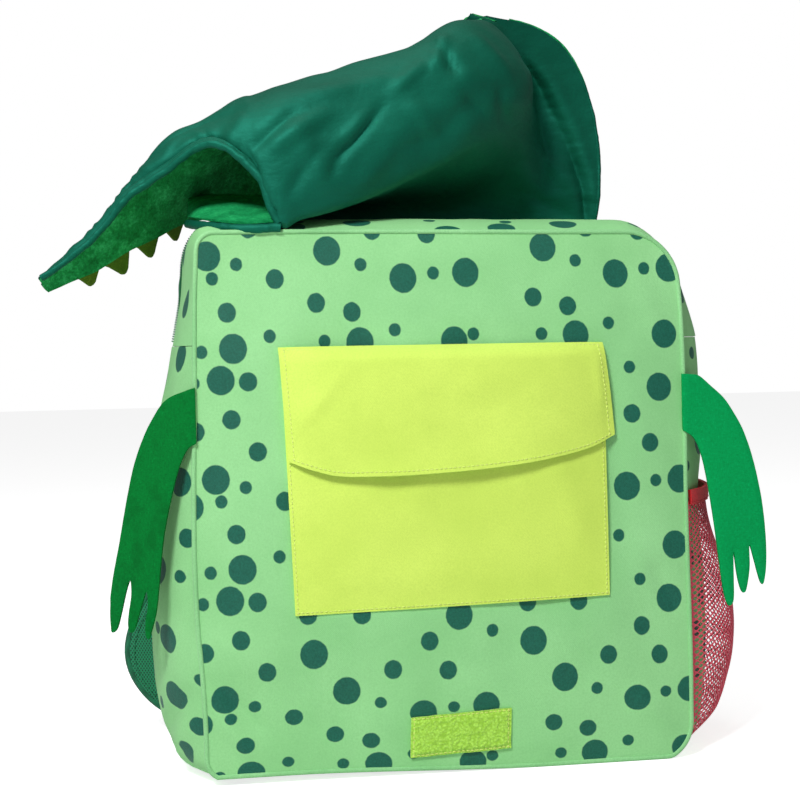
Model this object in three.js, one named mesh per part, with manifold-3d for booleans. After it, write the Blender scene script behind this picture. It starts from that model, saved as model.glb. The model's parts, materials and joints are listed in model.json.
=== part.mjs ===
// Kids animal backpack: boxy zip bag, front pocket, felt arms, side net pocket and a soft head flap.
// Millimetres, +Z up, front towards -Y, +X at the viewer's right. The origin is the centre of the base.

import * as THREE from 'three';
import { mergeVertices } from 'three/addons/utils/BufferGeometryUtils.js';
import Module from 'manifold-3d';

const wasm = await Module();
wasm.setup();

// Driving dimensions of the bag
const bagWidth = 292;
const backWidth = 300;
const bagHeight = 318;
const bottomDepth = 130;
const topDepth = 96;
const frontLean = 22;
const cornerRadius = 24;
const clothThickness = 1.5;
const backThickness = 4;
const clearance = 0.3;
const frontCrown = 7;
const backCrown = 4;
const sideBulge = 20;
const shoulderBulge = 5;
const topBulge = 10.5;

// Zip gusset
const splitBelowTop = 63;
const splitHeight = bagHeight - splitBelowTop;
const zipFromFront = 0.58;
const zipTapeWidth = 11;
const zipCoilWidth = 4;
const zipCoilThickness = 1.6;
const zipTapeThickness = 1.2;

// Zip slider and its pull tab
const sliderLength = 12;
const sliderWidth = 8;
const sliderBody = 3.2;
const bridgeHeight = 3.6;
const bridgeBar = 1.1;
const bridgeWidth = 1.6;
const pullLength = 24;
const pullWidth = 6;
const pullThickness = 1.2;
const pullBar = 1.2;
const pullBarAbove = 1;
const pullWindowWidth = 3;
const pullWindowLength = 8;

// Front pocket, its flap and the closure patch
const pocketWidth = 193;
const pocketHeight = 146;
const pocketBase = 98;
const pocketOffCentre = 0.7;
const pocketBulge = 9;
const pocketMouth = 8;
const flapHeight = 64;
const flapAbovePocket = 9;
const flapOverhang = 2;
const flapCornerRise = 12;
const patchWidth = 60;
const patchHeight = 24;
const patchThickness = 2;
const patchCentreHeight = 23.5;
const patchOffCentre = 3;

// Felt arms
const armLength = 138;
const armReach = 52;
const armThickness = 3;
const armBelowTop = 87;
const armTop = bagHeight - armBelowTop;
const leftArmTurn = 35;
const leftArmSwing = 5;
const rightArmTurn = 4;

// Side net pocket
const netTop = 154;
const netUnderAngle = 0.8;
const netInset = 0.02;
const netStandOff = 1.2;
const netBulge = 27;
const netThickness = 1.4;
const netCellsDeep = 10;
const netCellsHigh = 20;
const netHoleShare = 0.76;
const bindingHeight = 10;
const bindingThickness = 2.4;

// Head flap
const headRise = 148;
const headCloth = 2.6;
const headLining = 1.2;
const headSeamLift = 1.2;
const headColumnSteps = 3;
const headRowSteps = 2;
const toothWidth = 12;
const toothDrop = 9;
const toothThickness = 2;
const toothSeamGap = 0.85;

// Shoulder straps, webbing and hang loop
const strapWidth = 46;
const strapThickness = 8;
const strapBelowTop = 34;
const strapTop = bagHeight - strapBelowTop;
const strapDrop = 250;
const strapSlack = 34;
const webbingWidth = 20;
const webbingLength = 34;
const webbingThickness = 1.6;
const adjusterLength = 16;
const adjusterWidth = 26;
const adjusterThickness = 5;
const loopWidth = 20;
const loopHeight = 34;
const loopDepth = 12;
const loopBelowTop = 22;
const loopBase = bagHeight - loopBelowTop;

const part = new THREE.Group();

// Materials

const printedGreen = new THREE.MeshStandardMaterial({ color: 0x98db96, roughness: 0.8 });
const limeCloth = new THREE.MeshStandardMaterial({ color: 0xd5f264, roughness: 0.8 });
const limePile = new THREE.MeshStandardMaterial({ color: 0xc7fe6d, roughness: 0.95 });
const greenFelt = new THREE.MeshStandardMaterial({ color: 0x009450, roughness: 0.85 });
const plush = new THREE.MeshStandardMaterial({ color: 0x2f9a4c, roughness: 0.95 });
const nylon = new THREE.MeshStandardMaterial({ color: 0x41806b, roughness: 0.45 });
const oliveFelt = new THREE.MeshStandardMaterial({ color: 0x6a7d1f, roughness: 0.9 });
const redNet = new THREE.MeshStandardMaterial({ color: 0xe0203a, roughness: 0.5 });
const redBinding = new THREE.MeshStandardMaterial({ color: 0xd01222, roughness: 0.7 });
const tealCloth = new THREE.MeshStandardMaterial({ color: 0x088757, roughness: 0.8 });
const zipPlastic = new THREE.MeshStandardMaterial({ color: 0x2f8f5a, roughness: 0.5 });
const zipMetal = new THREE.MeshStandardMaterial({ color: 0xc8ccd0, roughness: 0.3, metalness: 1 });

function addMesh(name, geometry, material, parent = part) {
  const mesh = new THREE.Mesh(geometry, material);
  mesh.name = name;
  parent.add(mesh);
  return mesh;
}

// Cloth solids: a surface of points and faces, thickened half to each side

function gridFaces(rows, columns, keep = () => true) {
  const faces = [];
  const at = (row, column) => row * (columns + 1) + column;
  for (let row = 0; row < rows; row += 1) {
    for (let column = 0; column < columns; column += 1) {
      if (keep(row, column)) {
        faces.push([at(row, column), at(row + 1, column), at(row + 1, column + 1), at(row, column + 1)]);
      }
    }
  }
  return faces;
}

function surfaceNormals(points, faces) {
  const normals = points.map(() => new THREE.Vector3());
  for (const face of faces) {
    const faceNormal = new THREE.Vector3();
    face.forEach((index, corner) => {
      const here = points[index];
      const next = points[face[(corner + 1) % face.length]];
      faceNormal.x += (here.y - next.y) * (here.z + next.z);
      faceNormal.y += (here.z - next.z) * (here.x + next.x);
      faceNormal.z += (here.x - next.x) * (here.y + next.y);
    });
    face.forEach((index) => normals[index].add(faceNormal));
  }
  return normals.map((normal) => normal.normalize());
}

function clothSolid(points, faces, thickness, offset = 0) {
  const normals = surfaceNormals(points, faces);
  const used = [...new Set(faces.flat())];
  const slot = new Map(used.map((index, place) => [index, place]));
  const positions = [];
  for (const side of [offset + thickness / 2, offset - thickness / 2]) {
    for (const index of used) {
      const point = points[index].clone().addScaledVector(normals[index], side);
      positions.push(point.x, point.y, point.z);
    }
  }
  const indices = [];
  const sides = new Map();
  for (const face of faces) {
    const corners = face.map((index) => slot.get(index));
    for (let corner = 1; corner < corners.length - 1; corner += 1) {
      const [a, b, c] = [corners[0], corners[corner], corners[corner + 1]];
      indices.push(a, b, c);
      indices.push(a + used.length, c + used.length, b + used.length);
    }
    corners.forEach((here, corner) => {
      const next = corners[(corner + 1) % corners.length];
      if (sides.has(`${next},${here}`)) sides.delete(`${next},${here}`);
      else sides.set(`${here},${next}`, [here, next]);
    });
  }
  for (const [here, next] of sides.values()) {
    const under = here + used.length;
    const nextUnder = next + used.length;
    indices.push(here, under, nextUnder, here, nextUnder, next);
  }
  const geometry = new THREE.BufferGeometry();
  geometry.setAttribute('position', new THREE.Float32BufferAttribute(positions, 3));
  geometry.setIndex(indices);
  geometry.computeVertexNormals();
  return geometry;
}

function clothPatch(rows, columns, thickness, pointAt) {
  const points = [];
  for (let row = 0; row <= rows; row += 1) {
    for (let column = 0; column <= columns; column += 1) {
      points.push(pointAt(row / rows, column / columns));
    }
  }
  return clothSolid(points, gridFaces(rows, columns), thickness);
}

// A strap along a curve: its width is square to the curve and to a given direction
function strapSolid(curve, facing, width, thickness, steps) {
  return clothPatch(steps, 2, thickness, (along, side) => {
    const across = new THREE.Vector3().crossVectors(facing, curve.getTangent(along)).normalize();
    return curve.getPoint(along).addScaledVector(across, (side - 0.5) * width);
  });
}

// Booleans

function toManifold(geometry) {
  const bare = geometry.clone();
  bare.deleteAttribute('normal');
  bare.deleteAttribute('uv');
  const merged = mergeVertices(bare);
  return new wasm.Manifold(new wasm.Mesh({
    numProp: 3,
    vertProperties: new Float32Array(merged.attributes.position.array),
    triVerts: new Uint32Array(merged.index.array),
  }));
}

function fromManifold(solid) {
  const mesh = solid.getMesh();
  const geometry = new THREE.BufferGeometry();
  geometry.setAttribute('position', new THREE.BufferAttribute(mesh.vertProperties, 3));
  geometry.setIndex(new THREE.BufferAttribute(mesh.triVerts, 1));
  geometry.computeVertexNormals();
  return geometry;
}

// The bag's main form

const baseHeight = clothThickness / 2;
const backLean = bottomDepth - topDepth - frontLean;
const seamGap = clothThickness / 2 + clearance;
const backSeamGap = backThickness / 2 + clearance;
const layerGap = clothThickness + clearance;

function frontSeamY(height) {
  return -bottomDepth / 2 + frontLean * height / bagHeight;
}

function backSeamY(height) {
  return bottomDepth / 2 - backLean * height / bagHeight;
}

function crownShare(across, width, height) {
  const side = Math.min(1, Math.abs(2 * across / width));
  const level = Math.min(1, Math.abs(2 * height / bagHeight - 1));
  return (1 - side ** 2.4) * (1 - level ** 2.4);
}

function frontPanelY(across, height) {
  return frontSeamY(height) - frontCrown * crownShare(across, bagWidth, height);
}

function backPanelY(across, height) {
  return backSeamY(height) + backCrown * crownShare(across, backWidth, height);
}

// Half width of a panel at a height, with its rounded corners
function panelHalfWidth(width, height) {
  const toEdge = Math.min(height - baseHeight, bagHeight - height);
  if (toEdge >= cornerRadius) return width / 2;
  const rise = cornerRadius - toEdge;
  return width / 2 - cornerRadius + Math.sqrt(Math.max(0, cornerRadius ** 2 - rise ** 2));
}

// Heights of the panel's rows: close together in the rounded corners
function panelHeights() {
  const corners = [0, 0.03, 0.12, 0.3, 0.6, 1].map((share) => share * cornerRadius);
  const heights = corners.map((rise) => baseHeight + rise);
  const straightSteps = 8;
  const straight = bagHeight - baseHeight - 2 * cornerRadius;
  for (let step = 1; step < straightSteps; step += 1) {
    heights.push(baseHeight + cornerRadius + straight * step / straightSteps);
  }
  corners.reverse().forEach((rise) => heights.push(bagHeight - rise));
  return heights;
}

function panelSolid(width, thickness, depthAt) {
  const heights = panelHeights();
  const columns = 10;
  const points = [];
  for (const height of heights) {
    const half = panelHalfWidth(width, height);
    for (let column = 0; column <= columns; column += 1) {
      const across = half * (2 * column / columns - 1);
      points.push(new THREE.Vector3(across, depthAt(across, height), height));
    }
  }
  return clothSolid(points, gridFaces(heights.length - 1, columns), thickness);
}

// Stations of the panel's outline, each with its outward direction in the XZ plane
function lineStations(fromX, fromZ, toX, toZ, outX, outZ, steps) {
  const stations = [];
  for (let step = 0; step <= steps; step += 1) {
    const share = step / steps;
    stations.push({
      x: THREE.MathUtils.lerp(fromX, toX, share),
      z: THREE.MathUtils.lerp(fromZ, toZ, share),
      outX,
      outZ,
    });
  }
  return stations;
}

function cornerStations(centreX, centreZ, fromAngle, toAngle, steps) {
  const stations = [];
  for (let step = 1; step < steps; step += 1) {
    const angle = THREE.MathUtils.lerp(fromAngle, toAngle, step / steps);
    const outX = Math.cos(angle);
    const outZ = Math.sin(angle);
    stations.push({
      x: centreX + cornerRadius * outX,
      z: centreZ + cornerRadius * outZ,
      outX,
      outZ,
    });
  }
  return stations;
}

const cornerSteps = 5;

function lowerStations(width) {
  const half = width / 2;
  const inner = half - cornerRadius;
  const low = baseHeight + cornerRadius;
  const top = splitHeight - clearance;
  return [
    ...lineStations(-half, top, -half, low, -1, 0, 8),
    ...cornerStations(-inner, low, Math.PI, 1.5 * Math.PI, cornerSteps),
    ...lineStations(-inner, baseHeight, inner, baseHeight, 0, -1, 8),
    ...cornerStations(inner, low, -0.5 * Math.PI, 0, cornerSteps),
    ...lineStations(half, low, half, top, 1, 0, 8),
  ];
}

function upperStations(width) {
  const half = width / 2;
  const inner = half - cornerRadius;
  const high = bagHeight - cornerRadius;
  return [
    ...lineStations(-half, splitHeight, -half, high, -1, 0, 4),
    ...cornerStations(-inner, high, Math.PI, 0.5 * Math.PI, cornerSteps),
    ...lineStations(-inner, bagHeight, inner, bagHeight, 0, 1, 8),
    ...cornerStations(inner, high, 0.5 * Math.PI, 0, cornerSteps),
    ...lineStations(half, high, half, splitHeight, 1, 0, 4),
  ];
}

// How far the gusset stands out from the line between its two seams
function gussetBulge(station) {
  const shoulder = THREE.MathUtils.smoothstep(station.z, 0.66 * bagHeight, 0.92 * bagHeight);
  const side = THREE.MathUtils.lerp(sideBulge, shoulderBulge, shoulder) * Math.abs(station.outX) ** 3;
  const top = topBulge * Math.max(0, station.outZ) ** 2;
  return side + top;
}

function gussetPoint(frontStation, backStation, depthShare) {
  const front = new THREE.Vector3(frontStation.x, frontSeamY(frontStation.z) + seamGap, frontStation.z);
  const back = new THREE.Vector3(backStation.x, backSeamY(backStation.z) - backSeamGap, backStation.z);
  const standOut = gussetBulge(frontStation) * (1 - Math.abs(2 * depthShare - 1) ** 2.5);
  const point = front.lerp(back, depthShare);
  point.x += frontStation.outX * standOut;
  point.z += frontStation.outZ * standOut;
  return point;
}

function gussetSolid(stationsOf, fromShare, toShare, columns, thickness, outward = 0) {
  const frontStations = stationsOf(bagWidth);
  const backStations = stationsOf(backWidth);
  const points = [];
  frontStations.forEach((station, row) => {
    for (let column = 0; column <= columns; column += 1) {
      const share = THREE.MathUtils.lerp(fromShare, toShare, column / columns);
      const point = gussetPoint(station, backStations[row], share);
      point.x += station.outX * outward;
      point.z += station.outZ * outward;
      points.push(point);
    }
  });
  return clothSolid(points, gridFaces(frontStations.length - 1, columns), thickness);
}

// Panels and gussets

const zipTapeShare = zipTapeWidth / topDepth;
const zipGapShare = clearance / topDepth;
const coilShare = zipCoilWidth / topDepth;
const zipCentreShare = zipFromFront + zipTapeShare / 2;

function addBagShell() {
  addMesh('front_panel', panelSolid(bagWidth, clothThickness, frontPanelY), printedGreen);
  addMesh('back_panel', panelSolid(backWidth, backThickness, backPanelY), tealCloth);
  addMesh('lower_gusset', gussetSolid(lowerStations, 0, 1, 8, clothThickness), printedGreen);
  const frontStrip = gussetSolid(upperStations, 0, zipFromFront, 5, clothThickness);
  addMesh('top_gusset_front', frontStrip, printedGreen);
  const backStrip = gussetSolid(upperStations, zipFromFront + zipTapeShare, 1, 3, clothThickness);
  addMesh('top_gusset_back', backStrip, printedGreen);
}

function addZip() {
  const tapeFrom = zipFromFront + zipGapShare;
  const tapeTo = zipFromFront + zipTapeShare - zipGapShare;
  const tape = gussetSolid(upperStations, tapeFrom, tapeTo, 1, zipTapeThickness);
  addMesh('zip_tape', tape, zipPlastic);

  // The coil stops above the slider, which stands at its right end
  const aboveSlider = splitHeight + sliderLength + 2 * clearance;
  const coilStations = (width) => {
    const stations = upperStations(width).reverse();
    stations[0].z = aboveSlider;
    stations[1].z = THREE.MathUtils.lerp(aboveSlider, stations[2].z, 0.5);
    return stations.reverse();
  };
  const coilLift = zipTapeThickness / 2 + clearance + zipCoilThickness / 2;
  const coilFrom = zipCentreShare - coilShare / 2;
  const coilTo = zipCentreShare + coilShare / 2;
  const coil = gussetSolid(coilStations, coilFrom, coilTo, 1, zipCoilThickness, coilLift);
  addMesh('zip_coil', coil, zipPlastic);
}

// Slider and pull: local x points away from the bag, local z runs up the zip

function placeOnRightZip(height) {
  const station = (z) => [bagWidth, backWidth].map((width) => ({ x: width / 2, z, outX: 1, outZ: 0 }));
  const here = gussetPoint(...station(height), zipCentreShare);
  const above = gussetPoint(...station(height + sliderLength / 2), zipCentreShare);
  const below = gussetPoint(...station(height - sliderLength / 2), zipCentreShare);
  const holder = new THREE.Group();
  holder.position.copy(here);
  holder.rotation.y = Math.atan2(above.x - below.x, above.z - below.z);
  part.add(holder);
  return holder;
}

function addSlider() {
  const onZip = placeOnRightZip(splitHeight + sliderLength / 2 + clearance);
  const standOff = zipTapeThickness / 2 + 3 * clearance;
  const bodyFace = standOff + sliderBody;

  const body = new THREE.BoxGeometry(sliderBody, sliderWidth, sliderLength);
  body.translate(standOff + sliderBody / 2, 0, 0);
  const bridgeLength = sliderLength - 2 * bridgeBar;
  const bridge = new THREE.BoxGeometry(bridgeHeight + bridgeBar, bridgeWidth, bridgeLength);
  bridge.translate(bodyFace + (bridgeHeight + bridgeBar) / 2 - bridgeBar / 2, 0, 0);
  const hollow = new THREE.BoxGeometry(bridgeHeight, bridgeWidth * 2, bridgeLength - 2 * bridgeBar);
  hollow.translate(bodyFace + bridgeHeight / 2 - bridgeBar / 2, 0, 0);
  const sliderBodySolid = toManifold(body);
  const arch = toManifold(bridge).subtract(toManifold(hollow));
  addMesh('zip_slider', fromManifold(sliderBodySolid.add(arch)), zipMetal, onZip);

  const windowHalf = pullWindowWidth / 2;
  const outline = new THREE.Shape();
  outline.moveTo(-pullWidth / 2, pullBar / 2);
  outline.lineTo(-pullWidth / 2, -pullLength + pullWidth / 2);
  outline.absarc(0, -pullLength + pullWidth / 2, pullWidth / 2, Math.PI, 2 * Math.PI, false);
  outline.lineTo(pullWidth / 2, pullBar / 2);
  outline.closePath();
  const window = new THREE.Path();
  window.moveTo(-windowHalf, -pullBar / 2);
  window.lineTo(windowHalf, -pullBar / 2);
  window.lineTo(windowHalf, -pullBar / 2 - pullWindowLength);
  window.lineTo(-windowHalf, -pullBar / 2 - pullWindowLength);
  window.closePath();
  outline.holes.push(window);
  const tab = new THREE.ExtrudeGeometry(outline, {
    depth: pullThickness,
    bevelEnabled: false,
    curveSegments: 6,
  });
  tab.translate(0, 0, -pullThickness / 2);
  tab.rotateX(Math.PI / 2);
  tab.rotateZ(Math.PI / 2);
  const pullHolder = new THREE.Group();
  pullHolder.position.set(bodyFace + (bridgeHeight - bridgeBar) / 2, 0, pullBarAbove);
  onZip.add(pullHolder);
  addMesh('zip_pull', tab, zipMetal, pullHolder);
}

// Front pocket, flap and patch: each stands off the front panel by its own amount

const pocketTop = pocketBase + pocketHeight;
const pocketLeft = pocketOffCentre - pocketWidth / 2;

function frontLayerPoint(across, height, standOff) {
  return new THREE.Vector3(across, frontPanelY(across, height) - standOff, height);
}

function pocketStandOff(acrossShare, upShare) {
  const side = Math.abs(2 * acrossShare - 1);
  const belly = pocketBulge * (1 - side ** 4) * Math.sin(Math.PI * Math.min(1, upShare * 0.5 + 0.02));
  const mouth = pocketMouth * (1 - side ** 6) * upShare ** 3;
  return layerGap + Math.max(belly * (1 - upShare ** 6), 0) + mouth * upShare ** 2;
}

function addPocket() {
  const pocket = clothPatch(10, 12, clothThickness, (up, across) => {
    const x = pocketLeft + pocketWidth * across;
    return frontLayerPoint(x, pocketBase + pocketHeight * up, pocketStandOff(across, up));
  });
  addMesh('front_pocket', pocket, limeCloth);
}

function addPocketFlap() {
  const flapTop = pocketTop + flapAbovePocket;
  const flapWidth = pocketWidth + 2 * flapOverhang;
  const flapLeft = pocketLeft - flapOverhang;
  const bandShare = 0.25;
  const flap = clothPatch(12, 12, clothThickness, (up, across) => {
    const x = flapLeft + flapWidth * across;
    const lowerEdge = flapTop - flapHeight + flapCornerRise * Math.abs(2 * across - 1) ** 6;
    const overMouth = pocketTop + 2 * clearance;
    const z = up > 1 - bandShare
      ? THREE.MathUtils.lerp(overMouth, flapTop, (up - 1 + bandShare) / bandShare)
      : THREE.MathUtils.lerp(lowerEdge, overMouth, up / (1 - bandShare));
    const overPocket = THREE.MathUtils.clamp((x - pocketLeft) / pocketWidth, 0, 1);
    const pocketUp = THREE.MathUtils.clamp((z - pocketBase) / pocketHeight, 0, 1);
    const ramp = THREE.MathUtils.clamp((flapTop - z) / (flapTop - overMouth), 0, 1);
    const over = pocketStandOff(overPocket, pocketUp) + layerGap + 2 * clearance;
    return frontLayerPoint(x, z, THREE.MathUtils.lerp(layerGap, over, Math.sin(ramp * Math.PI / 2)));
  });
  addMesh('pocket_flap', flap, limeCloth);
}

function addClosurePatch() {
  const standOff = clothThickness / 2 + patchThickness / 2 + clearance;
  const patch = clothPatch(2, 5, patchThickness, (up, across) => {
    const x = patchOffCentre + patchWidth * (across - 0.5);
    const z = patchCentreHeight + patchHeight * (up - 0.5);
    return frontLayerPoint(x, z, standOff);
  });
  addMesh('closure_patch', patch, limePile);
}

// Felt arms: a flat outline in shares of the arm's reach and length, down from the top of its root

const armOutline = [
  [0, 0], [0.2, 0.015], [0.38, 0.065], [0.53, 0.11], [0.66, 0.18], [0.77, 0.26],
  [0.86, 0.38], [0.93, 0.5], [0.98, 0.62], [1, 0.74], [0.99, 0.85], [0.945, 0.93], [0.9, 0.935],
  [0.83, 0.87], [0.75, 0.79], [0.72, 0.87], [0.66, 0.955], [0.6, 0.94], [0.56, 0.87], [0.53, 0.79],
  [0.51, 0.88], [0.46, 0.99], [0.38, 0.99], [0.32, 0.87], [0.27, 0.77], [0.235, 0.62], [0.2, 0.47],
  [0.17, 0.365], [0.11, 0.3], [0, 0.27],
];

function armShape(mirror) {
  const points = armOutline.map(([out, down]) => {
    return new THREE.Vector2(mirror * out * armReach, -down * armLength);
  });
  return new THREE.Shape(points);
}

function addArm(name, mirror, turn, swing) {
  const geometry = new THREE.ExtrudeGeometry(armShape(mirror), { depth: armThickness, bevelEnabled: false });
  geometry.translate(0, 0, -armThickness / 2);
  geometry.rotateX(Math.PI / 2);
  const holder = new THREE.Group();
  const seamX = mirror * (bagWidth / 2 + clothThickness / 2 + clearance);
  holder.position.set(seamX, frontSeamY(armTop) - armThickness / 2, armTop);
  holder.rotation.x = -Math.atan2(frontLean, bagHeight);
  const hand = new THREE.Group();
  hand.rotation.set(0, mirror * -THREE.MathUtils.degToRad(swing), mirror * THREE.MathUtils.degToRad(turn));
  holder.add(hand);
  part.add(holder);
  addMesh(name, geometry, greenFelt, hand);
}

// Side net pocket: diamond cells with an opening in each, on the right of the lower gusset

const netLength = netTop - cornerRadius - baseHeight + cornerRadius * netUnderAngle;

function netPoint(depthShare, belowTop, lift) {
  const low = cornerRadius + baseHeight;
  const straight = netTop - low;
  const angle = Math.max(0, belowTop - straight) / cornerRadius;
  const outX = Math.cos(angle);
  const outZ = -Math.sin(angle);
  const height = angle > 0 ? low + cornerRadius * outZ : netTop - belowTop;
  const stations = [bagWidth, backWidth].map((width) => ({
    x: width / 2 - cornerRadius * (1 - outX),
    z: height,
    outX,
    outZ,
  }));
  const point = gussetPoint(...stations, THREE.MathUtils.lerp(netInset, 1 - netInset, depthShare));
  const acrossShare = 1 - Math.abs(2 * depthShare - 1) ** 2.4;
  const downShare = THREE.MathUtils.clamp(belowTop / netLength, 0, 1);
  const belly = netBulge * acrossShare * Math.sin(Math.PI * (0.3 + 0.7 * downShare) ** 1.2);
  const standOut = clothThickness / 2 + netStandOff + lift + belly;
  point.x += outX * standOut;
  point.z += outZ * standOut;
  return point;
}

function addNetPocket() {
  const wide = netCellsDeep;
  const high = netCellsHigh;
  const points = [];
  const places = new Map();
  const vertex = (across, up) => {
    const key = `${across.toFixed(3)},${up.toFixed(3)}`;
    if (!places.has(key)) {
      places.set(key, points.length);
      points.push(netPoint(across / wide, netLength * (1 - up / high), netThickness / 2));
    }
    return places.get(key);
  };
  const faces = [];
  const directions = [[1, 0], [0, 1], [-1, 0], [0, -1]];
  for (let across = 0; across <= wide; across += 1) {
    for (let up = 0; up <= high; up += 1) {
      if ((across + up) % 2 !== 0) continue;
      const outside = ([x, y]) => x < 0 || x > wide || y < 0 || y > high;
      const tips = directions.map(([dx, dy]) => [across + dx, up + dy]);
      const edgeCell = tips.some(outside);
      directions.forEach(([dx, dy], turn) => {
        const [ex, ey] = directions[(turn + 1) % 4];
        const from = tips[turn];
        const to = tips[(turn + 1) % 4];
        if (outside(from) || outside(to)) return;
        if (edgeCell) {
          faces.push([vertex(across, up), vertex(...from), vertex(...to)]);
          return;
        }
        const inner = vertex(across + dx * netHoleShare, up + dy * netHoleShare);
        const nextInner = vertex(across + ex * netHoleShare, up + ey * netHoleShare);
        faces.push([vertex(...from), vertex(...to), nextInner, inner]);
      });
    }
  }
  addMesh('mesh_pocket', clothSolid(points, faces, netThickness), redNet);

  const binding = clothPatch(2, 16, bindingThickness, (up, depth) => {
    return netPoint(depth, -clearance - bindingHeight * up, bindingThickness / 2);
  });
  addMesh('mesh_binding', binding, redBinding);
}

// Head flap: one sheet that rises from the back seam, rolls over the bag's top and folds to the left.
// Each section lists points as shares: x of half the bag's width, y of half its top depth from the
// middle of the top, z of the head's rise above the top seam. A section runs base, under, fold, near,
// high, ridge, far and edge. Left of the fold's end only the last six points carry cloth.

const headSections = [
  [[0.83, 1.02, 0], [0.86, 0.98, 0.21], [0.865, 0.96, 0.4], [0.84, 0.93, 0.58], [0.78, 0.89, 0.745],
    [0.68, 0.83, 0.88], [0.52, 0.75, 0.965], [0.33, 0.62, 1]],
  [[0.74, 1.02, 0], [0.74, 0.96, 0.21], [0.73, 0.93, 0.4], [0.69, 0.9, 0.58], [0.63, 0.86, 0.73],
    [0.55, 0.8, 0.85], [0.43, 0.7, 0.94], [0.27, 0.58, 0.985]],
  [[0.63, 1.02, 0], [0.6, 0.97, 0.21], [0.57, 0.95, 0.4], [0.54, 0.94, 0.58], [0.5, 0.88, 0.73],
    [0.43, 0.7, 0.86], [0.34, 0.58, 0.945], [0.23, 0.55, 0.97]],
  [[0.49, 1.02, 0], [0.45, 0.85, 0.22], [0.4, 0.15, 0.45], [0.39, -0.15, 0.61], [0.36, -0.15, 0.79],
    [0.29, 0.12, 0.955], [0.25, 0.5, 0.945], [0.17, 0.84, 0.88]],
  [[0.3, 1.02, 0], [0.25, 0.72, 0.19], [0.18, -0.4, 0.385], [0.165, -0.65, 0.57], [0.165, -0.52, 0.77],
    [0.15, -0.06, 0.905], [0.12, 0.6, 0.85], [0.08, 1.04, 0.72]],
  [[0.03, 1.02, 0], [0, 0.64, 0.17], [-0.06, -0.6, 0.27], [-0.08, -0.81, 0.47], [-0.075, -0.65, 0.68],
    [-0.055, -0.1, 0.79], [-0.06, 0.64, 0.72], [-0.08, 1.14, 0.53]],
  [[-0.28, 1.02, 0], [-0.29, 0.6, 0.17], [-0.315, -0.8, 0.155], [-0.33, -0.96, 0.365],
    [-0.33, -0.77, 0.59], [-0.32, -0.18, 0.71], [-0.315, 0.68, 0.61], [-0.33, 1.18, 0.36]],
  [[-0.65, 1.02, 0], [-0.6, 0.56, 0.17], [-0.56, -0.98, 0.075], [-0.575, -1.05, 0.3],
    [-0.575, -0.86, 0.53], [-0.57, -0.22, 0.64], [-0.57, 0.68, 0.52], [-0.58, 1.2, 0.24]],
  [[-0.93, 1.02, 0], [-0.84, 0.5, 0.16], [-0.65, -1.02, 0.055], [-0.69, -1.06, 0.26],
    [-0.715, -0.85, 0.47], [-0.725, -0.26, 0.59], [-0.725, 0.68, 0.44], [-0.76, 1.18, 0.16]],
  [null, null, [-0.73, -0.98, 0.24], [-0.76, -0.93, 0.37], [-0.78, -0.68, 0.5],
    [-0.79, -0.26, 0.565], [-0.83, 0.58, 0.36], [-0.9, 1.1, 0.125]],
  [null, null, [-0.915, -0.73, 0.37], [-0.92, -0.6, 0.42], [-0.93, -0.42, 0.46],
    [-0.935, -0.22, 0.475], [-0.97, 0.36, 0.29], [-1.03, 0.85, 0.1]],
  [null, null, [-1.11, -0.48, 0.265], [-1.09, -0.42, 0.34], [-1.08, -0.32, 0.395],
    [-1.08, -0.2, 0.41], [-1.1, 0.2, 0.225], [-1.13, 0.56, 0.05]],
  [null, null, [-1.235, -0.38, 0.175], [-1.235, -0.34, 0.195], [-1.24, -0.26, 0.205],
    [-1.245, -0.18, 0.195], [-1.265, 0.02, 0.09], [-1.28, 0.24, -0.02]],
  [null, null, [-1.395, -0.32, -0.005], [-1.405, -0.28, 0.015], [-1.41, -0.22, 0.02],
    [-1.41, -0.16, 0.01], [-1.405, -0.04, -0.045], [-1.4, 0.1, -0.11]],
  [null, null, [-1.58, -0.28, -0.175], [-1.585, -0.25, -0.175], [-1.59, -0.22, -0.18],
    [-1.59, -0.18, -0.185], [-1.585, -0.14, -0.2], [-1.575, -0.1, -0.215]],
];
const foldColumn = 2;
const mouthSection = 8;
const topMiddleY = (frontSeamY(bagHeight) + backSeamY(bagHeight)) / 2;

function headPoint([across, depth, rise]) {
  const y = topMiddleY + depth * topDepth / 2;
  return new THREE.Vector3(
    across * bagWidth / 2,
    y,
    bagHeight + headSeamLift + rise * headRise,
  );
}

// Points of the sheet: a smooth curve through each section, then one through each column
function headGrid() {
  const columnCount = headSections[0].length - 1;
  const sectionCurves = headSections.map((section) => {
    const points = section.filter((point) => point !== null).map(headPoint);
    const skipped = section.length - points.length;
    const curve = new THREE.CatmullRomCurve3(points, false, 'catmullrom', 0.5);
    return { curve, skipped, spans: points.length - 1 };
  });
  const rows = (headSections.length - 1) * headRowSteps;
  const columns = columnCount * headColumnSteps;
  const points = Array.from({ length: (rows + 1) * (columns + 1) }, () => new THREE.Vector3());
  for (let column = 0; column <= columns; column += 1) {
    const place = column / headColumnSteps;
    const through = [];
    for (const { curve, skipped, spans } of sectionCurves) {
      if (place >= skipped) through.push(curve.getPoint((place - skipped) / spans));
    }
    const columnCurve = new THREE.CatmullRomCurve3(through, false, 'catmullrom', 0.5);
    const lastRow = (through.length - 1) * headRowSteps;
    for (let row = 0; row <= lastRow; row += 1) {
      points[row * (columns + 1) + column] = columnCurve.getPoint(row / lastRow);
    }
  }
  const keep = (row, column) => {
    return row < mouthSection * headRowSteps || column >= foldColumn * headColumnSteps;
  };
  return { points, faces: gridFaces(rows, columns, keep), columns };
}

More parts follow.
